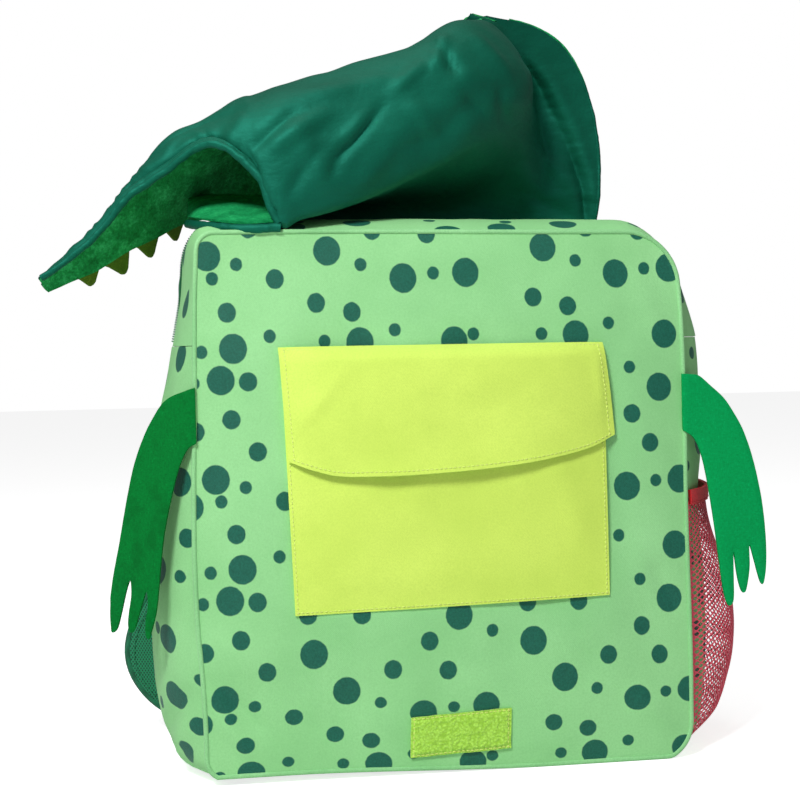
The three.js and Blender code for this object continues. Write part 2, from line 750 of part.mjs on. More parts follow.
function addHead() {
  const { points, faces, columns } = headGrid();
  const liningLift = -(clearance + headLining) / 2;
  const clothLift = (clearance + headCloth) / 2;
  addMesh('head_lining', clothSolid(points, faces, headLining, liningLift), nylon);
  addMesh('head_outer', clothSolid(points, faces, headCloth, clothLift), plush);

  const edgePoint = (section) => {
    const row = section * headRowSteps;
    const low = Math.floor(row);
    const at = (whole, column) => points[whole * (columns + 1) + column];
    const share = row - low;
    return at(low, columns).clone().lerp(at(low + 1, columns), share);
  };
  const innerPoint = (section) => {
    const row = Math.round(section * headRowSteps);
    return points[row * (columns + 1) + columns - 1];
  };
  const toothPlaces = [13.15, 12.15, 11.25, 10.3];
  toothPlaces.forEach((section, index) => {
    const centre = edgePoint(section);
    const along = edgePoint(section + 0.2).sub(edgePoint(section - 0.2)).normalize();
    const outward = centre.clone().sub(innerPoint(section)).normalize();
    const across = new THREE.Vector3().crossVectors(along, outward).normalize();
    const hang = new THREE.Vector3().crossVectors(across, along).normalize();
    const basis = new THREE.Matrix4().makeBasis(along, hang, across);
    const holder = new THREE.Group();
    holder.quaternion.setFromRotationMatrix(basis);
    holder.position.copy(centre).addScaledVector(hang, toothSeamGap);
    part.add(holder);
    addMesh(`tooth_${index + 1}`, toothGeometry(), oliveFelt, holder);
  });
}

// A tooth: one steep side, one hollow side and a rounded tip, with its root along the head's edge
function toothGeometry() {
  const half = toothWidth / 2;
  const outline = new THREE.Shape();
  outline.moveTo(-half, 0);
  outline.lineTo(-half * 0.7, toothDrop * 0.85);
  outline.quadraticCurveTo(-half * 0.55, toothDrop, -half * 0.2, toothDrop * 0.85);
  outline.quadraticCurveTo(half * 0.35, toothDrop * 0.3, half, 0);
  outline.closePath();
  const geometry = new THREE.ExtrudeGeometry(outline, {
    depth: toothThickness,
    bevelEnabled: false,
    curveSegments: 5,
  });
  geometry.translate(0, 0, -toothThickness / 2);
  return geometry;
}

// Shoulder straps, lower webbing and adjusters, mirrored about the middle

function backFaceY(across, height) {
  return backPanelY(across, height) + backThickness / 2;
}

function addStrap(side, mirror) {
  const behind = new THREE.Vector3(0, 1, 0);
  const at = (across, away, height) => {
    const x = across * backWidth / 2;
    return new THREE.Vector3(mirror * x, backFaceY(x, height) + clearance + strapThickness / 2 + away, height);
  };
  const strapRoute = new THREE.CatmullRomCurve3([
    at(0.26, 0, strapTop),
    at(0.27, 0.12 * strapSlack, strapTop - 0.08 * strapDrop),
    at(0.34, 0.7 * strapSlack, strapTop - 0.24 * strapDrop),
    at(0.54, strapSlack, strapTop - 0.46 * strapDrop),
    at(0.84, 0.85 * strapSlack, strapTop - 0.68 * strapDrop),
    at(1.08, 0.5 * strapSlack, strapTop - 0.84 * strapDrop),
    at(1.13, 0.3 * strapSlack, strapTop - 0.93 * strapDrop),
    at(1.04, 0.15 * strapSlack, strapTop - strapDrop),
    at(0.95, 0.1 * strapSlack, strapTop - strapDrop),
    at(0.86, 0.05 * strapSlack, strapTop - strapDrop),
  ], false, 'centripetal');
  const strap = strapSolid(strapRoute, behind, strapWidth, strapThickness, 24);
  addMesh(`shoulder_strap_${side}`, strap, tealCloth);

  const strapEnd = strapRoute.getPoint(1);
  const inward = new THREE.Vector3(-mirror, 0, 0);
  const adjusterAt = strapEnd.clone().addScaledVector(inward, adjusterLength / 2 + 2 * clearance);
  const adjuster = new THREE.BoxGeometry(adjusterLength, adjusterThickness, adjusterWidth);
  addMesh(`strap_adjuster_${side}`, adjuster, zipPlastic).position.copy(adjusterAt);

  const webStart = adjusterAt.clone().addScaledVector(inward, adjusterLength / 2 + clearance);
  const webEnd = webStart.clone().addScaledVector(inward, webbingLength);
  webEnd.y = backFaceY(webEnd.x, webEnd.z) + clearance + webbingThickness / 2;
  const webMiddle = webStart.clone().lerp(webEnd, 0.6);
  webMiddle.y = Math.max(webEnd.y, backFaceY(webMiddle.x, webMiddle.z) + clearance + webbingThickness);
  const webRoute = new THREE.CatmullRomCurve3([webStart, webMiddle, webEnd], false, 'centripetal');
  const webbing = strapSolid(webRoute, behind, webbingWidth, webbingThickness, 6);
  addMesh(`lower_webbing_${side}`, webbing, tealCloth);
}

// Hang loop: a drop of webbing with both ends on the back panel, one over the other
function addHangLoop() {
  const leg = (away, up) => {
    const height = loopBase + up * loopHeight;
    const wall = backFaceY(0, Math.min(height, loopBase)) + clearance + webbingThickness / 2;
    return new THREE.Vector3(0, wall + away, height);
  };
  const route = new THREE.CatmullRomCurve3([
    leg(0, -0.3),
    leg(0, 0),
    leg(0.1 * loopDepth, 0.35),
    leg(0.3 * loopDepth, 0.85),
    leg(0.6 * loopDepth, 1),
    leg(0.95 * loopDepth, 0.8),
    leg(0.9 * loopDepth, 0.4),
    leg(webbingThickness + clearance, 0),
    leg(webbingThickness + clearance, -0.3),
  ], false, 'centripetal');
  const sideways = new THREE.Vector3(1, 0, 0);
  const loop = clothPatch(24, 1, webbingThickness, (along, side) => {
    return route.getPoint(along).addScaledVector(sideways, (side - 0.5) * loopWidth);
  });
  addMesh('hang_loop', loop, tealCloth);
}

addBagShell();
addZip();
addSlider();
addPocket();
addPocketFlap();
addClosurePatch();
addArm('left_arm', -1, leftArmTurn, leftArmSwing);
addArm('right_arm', 1, rightArmTurn, 0);
addNetPocket();
addHead();
addStrap('left', -1);
addStrap('right', 1);
addHangLoop();

export default part;
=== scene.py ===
# Looks of the kids animal backpack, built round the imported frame. Lengths are in millimetres until a
# mesh is made. +Z up, front towards -Y, +X at the viewer's right.
import json
import math

import bpy
import numpy as np
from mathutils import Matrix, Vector
from mathutils.geometry import delaunay_2d_cdt


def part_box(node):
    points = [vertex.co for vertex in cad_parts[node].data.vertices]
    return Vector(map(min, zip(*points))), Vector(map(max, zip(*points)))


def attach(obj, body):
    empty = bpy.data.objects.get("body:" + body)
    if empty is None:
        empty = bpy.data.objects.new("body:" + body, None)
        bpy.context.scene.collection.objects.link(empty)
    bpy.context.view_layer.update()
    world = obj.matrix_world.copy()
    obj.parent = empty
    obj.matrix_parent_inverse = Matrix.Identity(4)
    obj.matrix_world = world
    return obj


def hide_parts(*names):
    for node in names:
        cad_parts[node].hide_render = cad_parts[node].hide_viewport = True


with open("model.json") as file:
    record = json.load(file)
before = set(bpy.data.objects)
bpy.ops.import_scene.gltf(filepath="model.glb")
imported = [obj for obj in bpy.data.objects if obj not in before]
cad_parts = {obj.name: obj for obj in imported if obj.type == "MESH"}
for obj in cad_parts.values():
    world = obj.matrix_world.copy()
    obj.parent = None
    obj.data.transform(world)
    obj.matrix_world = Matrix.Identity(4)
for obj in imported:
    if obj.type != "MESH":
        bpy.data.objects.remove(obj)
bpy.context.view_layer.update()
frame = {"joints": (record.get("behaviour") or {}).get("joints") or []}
MM = 0.001

# Main sizes of the bag, as in the part's source
BAG_WIDTH = 292
BACK_WIDTH = 300
BAG_HEIGHT = 318
BOTTOM_DEPTH = 130
TOP_DEPTH = 96
FRONT_LEAN = 22
BACK_LEAN = BOTTOM_DEPTH - TOP_DEPTH - FRONT_LEAN
CLOTH = 1.5
BACK_CLOTH = 4
FRONT_CROWN = 7
BACK_CROWN = 4
SPLIT_HEIGHT = 255
ZIP_FROM_FRONT = 0.58
ZIP_TAPE_WIDTH = 11
ZIP_TAPE_SHARE = ZIP_TAPE_WIDTH / TOP_DEPTH
HEAD_RISE = 148

# The camera stands where the photographer stood
CAMERA_AT = (-174.8, -987.1, 253.9)
CAMERA_TARGET = (-18.5, 0, 219)
CAMERA_ROLL = math.radians(-1.15)
CAMERA_LENS = 71.9
SENSOR = 36


def place_camera():
    data = bpy.data.cameras.new("camera")
    data.lens = CAMERA_LENS
    data.sensor_width = SENSOR
    data.clip_end = 20
    camera = bpy.data.objects.new("camera", data)
    bpy.context.scene.collection.objects.link(camera)
    start = Vector(CAMERA_AT) * MM
    away = (start - Vector(CAMERA_TARGET) * MM).normalized()
    right = Vector((0, 0, 1)).cross(away).normalized()
    up = away.cross(right)
    turned_right = right * math.cos(CAMERA_ROLL) + up * math.sin(CAMERA_ROLL)
    turned_up = up * math.cos(CAMERA_ROLL) - right * math.sin(CAMERA_ROLL)
    matrix = camera.matrix_world.copy()
    for row in range(3):
        matrix[row][0] = turned_right[row]
        matrix[row][1] = turned_up[row]
        matrix[row][2] = away[row]
        matrix[row][3] = start[row]
    camera.matrix_world = matrix
    bpy.context.scene.camera = camera


place_camera()

# Numbers and smooth random fields


def smooth(value, low, high):
    share = np.clip((np.asarray(value, float) - low) / (high - low), 0, 1)
    return share * share * (3 - 2 * share)


def lerp(a, b, share):
    return a + (b - a) * share


def unit(vectors):
    return vectors / np.maximum(np.linalg.norm(vectors, axis=-1, keepdims=True), 1e-9)


def squared(value, power):
    """A sine or cosine pushed towards -1 and 1, which squares a circle's corners."""
    return np.sign(value) * np.abs(value) ** power


def interpolated(places, knots, points):
    return np.stack([np.interp(places, knots, points[:, axis]) for axis in range(3)], -1)


def hermite(t, start, end, start_slope, end_slope):
    """A cubic from start to end, as t goes from 0 to 1."""
    return ((2 * t**3 - 3 * t**2 + 1) * start + (t**3 - 2 * t**2 + t) * start_slope
            + (-2 * t**3 + 3 * t**2) * end + (t**3 - t**2) * end_slope)


def table(value, pairs):
    """A smooth curve through given pairs of (place, amount), places rising."""
    places = np.array([p for p, _ in pairs], float)
    amounts = np.array([a for _, a in pairs], float)
    value = np.clip(np.asarray(value, float), places[0], places[-1])
    slopes = np.gradient(amounts, places)
    index = np.clip(np.searchsorted(places, value, side="right") - 1, 0, len(places) - 2)
    span = places[index + 1] - places[index]
    t = (value - places[index]) / span
    return hermite(t, amounts[index], amounts[index + 1], span * slopes[index], span * slopes[index + 1])


def route(points, steps):
    """A smooth curve through unevenly spaced points."""
    points = np.asarray(points, float)
    knots = np.concatenate([[0], np.cumsum(np.linalg.norm(np.diff(points, axis=0), axis=1) ** 0.5)])
    places = np.linspace(0, knots[-1], steps)
    return np.stack([table(places, list(zip(knots, points[:, axis]))) for axis in range(3)], -1)


def field(points, size, seed):
    """Smooth value noise from -1 to 1 at points (..., 3), with features of a given size."""
    rng = np.random.default_rng(seed)
    lattice = rng.uniform(-1, 1, (24, 24, 24))
    place = np.asarray(points, float) / size + 37.3
    low = np.floor(place).astype(int)
    t = place - low
    t = t * t * (3 - 2 * t)
    total = 0
    for dx in (0, 1):
        for dy in (0, 1):
            for dz in (0, 1):
                corner = lattice[(low[..., 0] + dx) % 24, (low[..., 1] + dy) % 24, (low[..., 2] + dz) % 24]
                wx = t[..., 0] if dx else 1 - t[..., 0]
                wy = t[..., 1] if dy else 1 - t[..., 1]
                wz = t[..., 2] if dz else 1 - t[..., 2]
                total = total + corner * wx * wy * wz
    return total


def xyz(x, y, z):
    return np.stack(np.broadcast_arrays(np.asarray(x, float), y, z), -1)


def crease(x, z, start, end, width, depth):
    """A fold along a line from start to end: depth at its middle, fading at its ends and sides."""
    ax, az = start
    bx, bz = end
    length2 = (bx - ax) ** 2 + (bz - az) ** 2
    along = ((x - ax) * (bx - ax) + (z - az) * (bz - az)) / length2
    held = np.clip(along, 0, 1)
    off = np.hypot(x - ax - held * (bx - ax), z - az - held * (bz - az))
    fade = np.clip(4 * held * (1 - held), 0, 1) ** 0.5
    return depth * np.exp(-((off / width) ** 2)) * np.maximum(fade, 0.25)


# Meshes


def make_object(name, points, faces, uvs=None, sharp=50):
    mesh = bpy.data.meshes.new(name)
    mesh.from_pydata((np.asarray(points) * MM).tolist(), [], faces)
    mesh.validate()
    mesh.update()
    if uvs is not None:
        layer = mesh.uv_layers.new(name="UVMap")
        loops = np.zeros(len(mesh.loops), int)
        mesh.loops.foreach_get("vertex_index", loops)
        layer.data.foreach_set("uv", np.asarray(uvs, np.float32)[loops].ravel())
    mesh.shade_smooth()
    mesh.set_sharp_from_angle(angle=math.radians(sharp))
    piece = bpy.data.objects.new(name, mesh)
    bpy.context.scene.collection.objects.link(piece)
    return piece


def grid_normals(grid):
    return unit(np.cross(np.gradient(grid, axis=0), np.gradient(grid, axis=1)))


def rim_edges(faces):
    """The edges that belong to one face only, in that face's direction."""
    edges = {}
    for face in faces:
        for corner in range(len(face)):
            here, after = face[corner], face[(corner + 1) % len(face)]
            if (after, here) in edges:
                del edges[(after, here)]
            else:
                edges[(here, after)] = True
    return list(edges)


def two_sided(top, under, faces):
    """Points and faces of a plate: the same faces over two sets of points, with the rim closed."""
    count = len(top)
    closed = faces + [[i + count for i in face[::-1]] for face in faces]
    closed += [[here, here + count, after + count, after] for here, after in rim_edges(faces)]
    return np.concatenate([top, under]), closed


def turned_towards(faces, points, direction):
    """The faces, all turned over if the first of them faces away from a direction."""
    a, b, c = points[faces[0][:3]]
    if np.cross(b - a, c - a) @ direction < 0:
        return [face[::-1] for face in faces]
    return faces


def sheet_parts(grid, thickness, offset=0.0, keep=None, flip=False):
    """Points and faces of a cloth: the grid thickened to both sides, with its rim closed."""
    rows, columns = grid.shape[:2]
    normals = grid_normals(grid) * (-1 if flip else 1)
    half = thickness / 2
    top = grid + normals * (offset + half)
    under = grid + normals * (offset - half)
    points = np.concatenate([top.reshape(-1, 3), under.reshape(-1, 3)])
    count = rows * columns
    index = np.arange(count).reshape(rows, columns)
    a, b = index[:-1, :-1], index[1:, :-1]
    c, d = index[1:, 1:], index[:-1, 1:]
    quads = np.stack([a, b, c, d], -1)
    if keep is not None:
        quads = quads[keep]
    quads = quads.reshape(-1, 4)
    if flip:
        quads = quads[:, ::-1]
    faces = quads.tolist() + (quads[:, ::-1] + count).tolist()
    faces += [[here, here + count, after + count, after] for here, after in rim_edges(quads.tolist())]
    used = np.unique(np.array([i for face in faces for i in face]))
    place = np.full(2 * count, -1)
    place[used] = np.arange(len(used))
    return points[used], [[int(place[i]) for i in face] for face in faces], used % count


def cloth(name, grid, thickness, uv=None, offset=0.0, keep=None, flip=False, sharp=50):
    points, faces, source = sheet_parts(grid, thickness, offset, keep, flip)
    uvs = None if uv is None else uv.reshape(-1, 2)[source]
    return make_object(name, points, faces, uvs, sharp)


def resample(path, step, closed=False):
    """Points at even steps along a polyline, with their tangents."""
    path = np.asarray(path, float)
    if closed:
        path = np.vstack([path, path[:1]])
    lengths = np.linalg.norm(np.diff(path, axis=0), axis=1)
    along = np.concatenate([[0], np.cumsum(lengths)])
    count = max(2, int(round(along[-1] / step)) + 1)
    places = np.linspace(0, along[-1], count)
    points = interpolated(places, along, path)
    if closed:
        points = points[:-1]
        tangents = np.roll(points, -1, 0) - np.roll(points, 1, 0)
    else:
        tangents = np.gradient(points, axis=0)
    return points, unit(tangents)


def ring_faces(rows, sides, closed=False):
    """Faces between rings of points. An open tube also gets its two ends."""
    faces = []
    for row in range(rows if closed else rows - 1):
        here, there = row * sides, (row + 1) % rows * sides
        for corner in range(sides):
            after = (corner + 1) % sides
            faces.append([here + corner, here + after, there + after, there + corner])
    if not closed:
        faces.append(list(range(sides))[::-1])
        faces.append([(rows - 1) * sides + corner for corner in range(sides)])
    return faces


def tube_parts(path, radius, sides=8, step=2.0, closed=False, flat=1.0, facing=(0, 1, 0)):
    """A tube along a path; flat below 1 squashes it along the facing direction."""
    points, tangents = resample(path, step, closed)
    radii = radius(np.linspace(0, 1, len(points))) if callable(radius) else np.full(len(points), radius)
    side = unit(np.cross(tangents, np.asarray(facing, float)))
    up = np.cross(side, tangents)
    angles = np.arange(sides) * 2 * math.pi / sides
    rings = (
        points[:, None]
        + side[:, None] * (np.cos(angles)[None, :, None] * radii[:, None, None])
        + up[:, None] * (np.sin(angles)[None, :, None] * radii[:, None, None] * flat)
    )
    return rings.reshape(-1, 3), ring_faces(len(points), sides, closed)


def tube(name, path, radius, **options):
    points, faces = tube_parts(path, radius, **options)
    return make_object(name, points, faces, sharp=70)


def merged(name, parts, sharp=50):
    """One object from several (points, faces) pairs."""
    points, faces, count = [], [], 0
    for part_points, part_faces in parts:
        points.append(part_points)
        faces += [[i + count for i in face] for face in part_faces]
        count += len(part_points)
    return make_object(name, np.concatenate(points), faces, sharp=sharp)


def stitch_parts(path, up, stitch=2.1, gap=0.6, radius=0.28, lift=0.1):
    """A run of short raised stitches along a path. up is one direction or one per path point."""
    points, tangents = resample(path, stitch + gap)
    ups = np.asarray(up, float)
    if ups.ndim == 1:
        ups = np.tile(ups, (len(points), 1))
    else:
        places = np.linspace(0, len(ups) - 1, len(points))
        low = np.clip(places.astype(int), 0, len(ups) - 2)
        ups = lerp(ups[low], ups[low + 1], (places - low)[:, None])
    parts = []
    sides = 6
    stations = [(-0.5, 0.35, -0.6), (-0.36, 0.9, 0.1), (0, 1.05, 0.5), (0.36, 0.9, 0.1), (0.5, 0.35, -0.6)]
    angles = np.arange(sides) * 2 * math.pi / sides
    faces = ring_faces(len(stations), sides)
    for point, tangent, direction in zip(points, tangents, ups):
        side = unit(np.cross(tangent, unit(direction)))
        normal = np.cross(side, tangent)
        ring_points = []
        for along, wide, high in stations:
            centre = point + tangent * along * stitch + normal * (lift + high * radius)
            ring_points.append(
                centre
                + side * (np.cos(angles) * radius * wide * 1.2)[:, None]
                + normal * (np.sin(angles) * radius * wide)[:, None]
            )
        parts.append((np.concatenate(ring_points), faces))
    return parts


# Materials


def srgb(red, green, blue):
    def linear(value):
        value /= 255
        return value / 12.92 if value <= 0.04045 else ((value + 0.055) / 1.055) ** 2.4

    return (linear(red), linear(green), linear(blue), 1.0)


def shade(colour, share):
    return (*(channel * share for channel in colour[:3]), 1)


class Nodes:
    """A material and a short way to add and join its nodes."""

    def __init__(self, name):
        self.material = bpy.data.materials.new(name)
        self.material.use_nodes = True
        self.tree = self.material.node_tree
        self.shader = self.tree.nodes["Principled BSDF"]

    def add(self, kind, settings=None, **inputs):
        node = self.tree.nodes.new(kind)
        for key, value in (settings or {}).items():
            setattr(node, key, value)
        for key, value in inputs.items():
            self.put(node, key.replace("_", " "), value)
        return node

    def put(self, node, key, value):
        socket = node.inputs[int(key[1:])] if key[0] == "i" and key[1:].isdigit() else node.inputs[key]
        if isinstance(value, bpy.types.NodeSocket):
            self.tree.links.new(value, socket)
        else:
            socket.default_value = value

    def set(self, **inputs):
        for key, value in inputs.items():
            self.put(self.shader, key.replace("_", " "), value)

    def math(self, operation, first, second=0.0, third=None):
        node = self.add("ShaderNodeMath", {"operation": operation}, i0=first, i1=second)
        if third is not None:
            self.put(node, "i2", third)
        return node.outputs[0]

    def mix(self, share, first, second):
        node = self.add("ShaderNodeMix", {"data_type": "RGBA"})
        self.put(node, "i0", share)
        self.put(node, "i6", first)
        self.put(node, "i7", second)
        return node.outputs[2]

    def object_space(self):
        return self.add("ShaderNodeTexCoord").outputs["Object"]

    def uv(self):
        return self.add("ShaderNodeTexCoord").outputs["UV"]

    def scaled(self, vector, scale):
        node = self.add("ShaderNodeMapping")
        self.put(node, "Vector", vector)
        self.put(node, "Scale", scale)
        return node.outputs[0]

    def split(self, vector):
        return self.add("ShaderNodeSeparateXYZ", None, Vector=vector).outputs

    def millimetres(self):
        """The place on the piece as three lengths in millimetres."""
        return self.split(self.scaled(self.object_space(), (1000, 1000, 1000)))

    def wave(self, value, turn):
        return self.math("SINE", self.math("MULTIPLY", value, turn))

    def weave(self, across, along, pitch):
        """Height of a plain weave: two sets of threads that pass over and under each other."""
        turn = 2 * math.pi / pitch
        return self.math("MULTIPLY", self.wave(across, turn), self.wave(along, turn))

    def noise(self, vector, scale, detail=3.0, roughness=0.55):
        node = self.add("ShaderNodeTexNoise", None, Vector=vector, Scale=scale, Detail=detail,
                        Roughness=roughness)
        return node.outputs["Fac"]

    def ramp(self, value, low, high, out_low=0.0, out_high=1.0):
        node = self.add("ShaderNodeMapRange", {"clamp": True})
        for place, amount in enumerate((value, low, high, out_low, out_high)):
            self.put(node, f"i{place}", amount)
        return node.outputs[0]

    def bump(self, height, distance, strength=1.0, normal=None):
        node = self.add("ShaderNodeBump", None, Strength=strength, Distance=distance, Height=height)
        if normal is not None:
            self.put(node, "Normal", normal)
        return node.outputs[0]


# The printed dots. Most of them repeat with each cell of the print, and three cells make its full width.
# Each dot has its place in shares of a cell's width and height, then its size.
PRINT_WIDTH = 131
PRINT_HEIGHT = 128
PRINT_CELLS = 3
PRINT_TILT = math.radians(0.9)
DOT_SIZES = {"big": 8.1, "middle": 5.3, "small": 3.6}
CELL_DOTS = [
    (0.08, 0.99, "big"), (0.38, 0.59, "big"), (0.52, 0.41, "big"), (0.65, 0.0, "big"),
    (0.86, 0.28, "big"), (0.46, 0.18, "middle"), (0.62, 0.135, "middle"),
    (0.36, 0.77, "middle"), (0.6, 0.76, "middle"), (0.73, 0.5, "middle"), (0.9, 0.62, "middle"),
    (0.0, 0.3, "small"), (0.49, 0.01, "small"), (0.67, 0.345, "small"), (0.81, 0.05, "small"),
    (0.9, 0.84, "small"),
]
MIDDLE_DOTS = [
    (0.15, 0.3, "big"), (0.04, 0.73, "big"), (0.19, 0.65, "small"), (0.17, 0.02, "small"),
    (1.12, 0.3, "big"), (1.04, 0.74, "big"), (0.98, 0.48, "middle"), (2.98, 0.48, "middle"),
]
LEFT_DOTS = [
    (2.02, 0.85, "big"), (1.98, 0.4, "big"), (2.14, 0.84, "middle"), (2.06, 0.67, "middle"),
    (2.17, 0.52, "middle"), (2.06, 0.15, "middle"), (2.28, 0.29, "middle"), (2.11, 0.36, "small"),
    (2.245, 0.04, "small"), (1.94, 0.98, "small"),
]
DOT_STRETCH = 1.06


def nearest_dot(nodes, uv, dots, cells):
    """How far each place is outside the nearest dot, in shares of a cell's width."""
    across, up, _ = nodes.split(uv)
    across = nodes.math("FLOORED_MODULO", across, float(cells))
    up = nodes.math("FRACT", up)
    tall = PRINT_HEIGHT / PRINT_WIDTH / DOT_STRETCH
    place = nodes.add("ShaderNodeCombineXYZ", None, X=across, Y=nodes.math("MULTIPLY", up, tall)).outputs[0]
    nearest = None
    for share_x, share_z, size in dots:
        radius = DOT_SIZES[size] / PRINT_WIDTH
        for shift_x in (-cells, 0, cells):
            for shift_z in (-1, 0, 1):
                x = share_x + shift_x
                z = share_z + shift_z
                if not (-radius < x < cells + radius and -radius < z < 1 + radius):
                    continue
                far = nodes.add("ShaderNodeVectorMath", {"operation": "DISTANCE"}, i0=place)
                nodes.put(far, "i1", (x, z * tall, 0))
                edge = nodes.math("SUBTRACT", far.outputs["Value"], radius)
                nearest = edge if nearest is None else nodes.math("MINIMUM", nearest, edge)
    return nearest


def dot_mask(nodes):
    """1 on a printed dot, 0 off it. The UV map counts cells of the print."""
    uv = nodes.uv()
    wobble = nodes.add("ShaderNodeTexNoise", None, Vector=uv, Scale=46.0, Detail=1.0)
    repeated = nearest_dot(nodes, uv, CELL_DOTS, 1)
    others = nearest_dot(nodes, uv, MIDDLE_DOTS + LEFT_DOTS, PRINT_CELLS)
    nearest = nodes.math("MINIMUM", repeated, others)
    ragged = nodes.math("MULTIPLY_ADD", wobble.outputs["Fac"], 0.004, -0.002)
    return nodes.ramp(nodes.math("ADD", nearest, ragged), 0.0022, -0.0022)


def printed_cloth():
    nodes = Nodes("printed_green_cloth")
    here = nodes.object_space()
    mask = dot_mask(nodes)
    broad = nodes.noise(here, 14.0)
    fine = nodes.noise(here, 900.0, 2.0)
    ground = nodes.mix(nodes.ramp(broad, 0.35, 0.65), srgb(146, 214, 143), srgb(160, 226, 156))
    ground = nodes.mix(nodes.ramp(fine, 0.3, 0.7, 0.0, 0.35), ground, srgb(128, 200, 126))
    ink = nodes.mix(nodes.ramp(fine, 0.3, 0.7), srgb(8, 88, 70), srgb(20, 106, 86))
    nodes.set(Base_Color=nodes.mix(mask, ground, ink))
    nodes.set(Roughness=nodes.math("MULTIPLY_ADD", mask, -0.24, 0.76), Specular_IOR_Level=0.35)
    nodes.set(Sheen_Weight=0.04, Sheen_Roughness=0.5)
    across, along, _ = nodes.split(nodes.scaled(nodes.uv(), (PRINT_WIDTH, PRINT_HEIGHT, 1)))
    weave = nodes.weave(across, along, 1.1)
    rough = nodes.math("MULTIPLY_ADD", fine, 0.8, nodes.math("MULTIPLY", weave, 0.35))
    first = nodes.bump(rough, 0.00022, 0.55)
    nodes.set(Normal=nodes.bump(mask, 0.00006, 0.6, first))
    return nodes.material


def plain_cloth(name, low, high, deep, pitch=1.0, bump=0.00022):
    """Woven polyester of one colour, with thread-to-thread and broad colour change."""
    nodes = Nodes(name)
    here = nodes.object_space()
    broad = nodes.noise(here, 16.0)
    fine = nodes.noise(here, 1000.0, 2.0)
    ground = nodes.mix(nodes.ramp(broad, 0.35, 0.65), low, high)
    nodes.set(Base_Color=nodes.mix(nodes.ramp(fine, 0.35, 0.75, 0.0, 0.4), ground, deep))
    nodes.set(Roughness=0.78, Sheen_Weight=0.15, Sheen_Roughness=0.5)
    x, y, z = nodes.millimetres()
    weave = nodes.weave(nodes.math("ADD", x, y), z, pitch)
    height = nodes.math("MULTIPLY_ADD", fine, 0.8, nodes.math("MULTIPLY", weave, 0.35))
    nodes.set(Normal=nodes.bump(height, bump, 0.6))
    return nodes.material


def nylon_lining():
    """Thin satin nylon: fine threads, soft gloss and small crinkles."""
    nodes = Nodes("green_nylon")
    here = nodes.object_space()
    broad = nodes.noise(here, 9.0, 3.0)
    fine = nodes.noise(here, 1400.0, 1.0)
    ground = nodes.mix(nodes.ramp(broad, 0.3, 0.7), srgb(5, 66, 46), srgb(14, 92, 70))
    nodes.set(Base_Color=nodes.mix(nodes.ramp(fine, 0.3, 0.8, 0.0, 0.3), ground, srgb(3, 44, 30)))
    nodes.set(Roughness=0.58, Sheen_Weight=0.05, Sheen_Roughness=0.4, Sheen_Tint=srgb(60, 170, 140))
    nodes.set(Specular_IOR_Level=0.7, Specular_Tint=(0.1, 1.0, 0.75, 1.0))
    stretched = nodes.scaled(here, (1.0, 1.0, 1.8))
    crinkle = nodes.noise(stretched, 55.0, 3.0, 0.5)
    small = nodes.noise(stretched, 170.0, 3.0, 0.55)
    first = nodes.bump(crinkle, 0.002, 0.45)
    second = nodes.bump(small, 0.0007, 0.4, first)
    nodes.set(Normal=nodes.bump(fine, 0.00012, 0.5, second))
    return nodes.material


def plush_cloth(name, dark, middle, light):
    """Short plush: small tufts, darker between them as painted shade and lighter on their tops as painted
    light.
    """
    nodes = Nodes(name)
    here = nodes.object_space()
    tufts = nodes.noise(here, 520.0, 4.0, 0.7)
    clumps = nodes.noise(here, 95.0, 3.0, 0.6)
    both = nodes.math("MULTIPLY_ADD", clumps, 0.6, nodes.math("MULTIPLY", tufts, 0.6))
    # The colour follows the tufts' relief: painted shade in the low parts, painted light on the high ones.
    first = nodes.mix(nodes.ramp(both, 0.38, 0.6), dark, middle)
    nodes.set(Base_Color=nodes.mix(nodes.ramp(both, 0.6, 0.8), first, light))
    nodes.set(Roughness=0.95, Sheen_Weight=0.25, Sheen_Roughness=0.4, Sheen_Tint=middle)
    nodes.set(Specular_IOR_Level=0.15)
    nodes.set(Normal=nodes.bump(both, 0.0012, 0.9))
    return nodes.material


def felt(name, dark, middle, light, blotch=None):
    """Pressed felt: short fibres lying all ways, with a faint mottle. The colour is darker where the fibres'
    relief is low, as painted shade, and lighter where it is high, as painted light.
    """
    nodes = Nodes(name)
    here = nodes.object_space()
    fibre = nodes.noise(nodes.scaled(here, (1.0, 1.0, 0.35)), 1300.0, 3.0, 0.7)
    cross = nodes.noise(nodes.scaled(here, (0.4, 1.0, 1.0)), 1200.0, 3.0, 0.7)
    both = nodes.math("MULTIPLY", nodes.math("ADD", fibre, cross), 0.5)
    # Painted shade in the low fibre relief and painted light on the high.
    first = nodes.mix(nodes.ramp(both, 0.35, 0.62), dark, middle)
    second = nodes.mix(nodes.ramp(both, 0.6, 0.75), first, light)
    if blotch is not None:
        patches = nodes.noise(nodes.scaled(here, (1.0, 1.0, 0.7)), 90.0, 2.0)
        second = nodes.mix(nodes.ramp(patches, 0.52, 0.66, 0.0, 0.45), second, blotch)
    nodes.set(Base_Color=second)
    nodes.set(Roughness=0.92, Sheen_Weight=0.12, Sheen_Roughness=0.5, Sheen_Tint=light)
    nodes.set(Specular_IOR_Level=0.12)
    nodes.set(Normal=nodes.bump(both, 0.0004, 0.8))
    return nodes.material


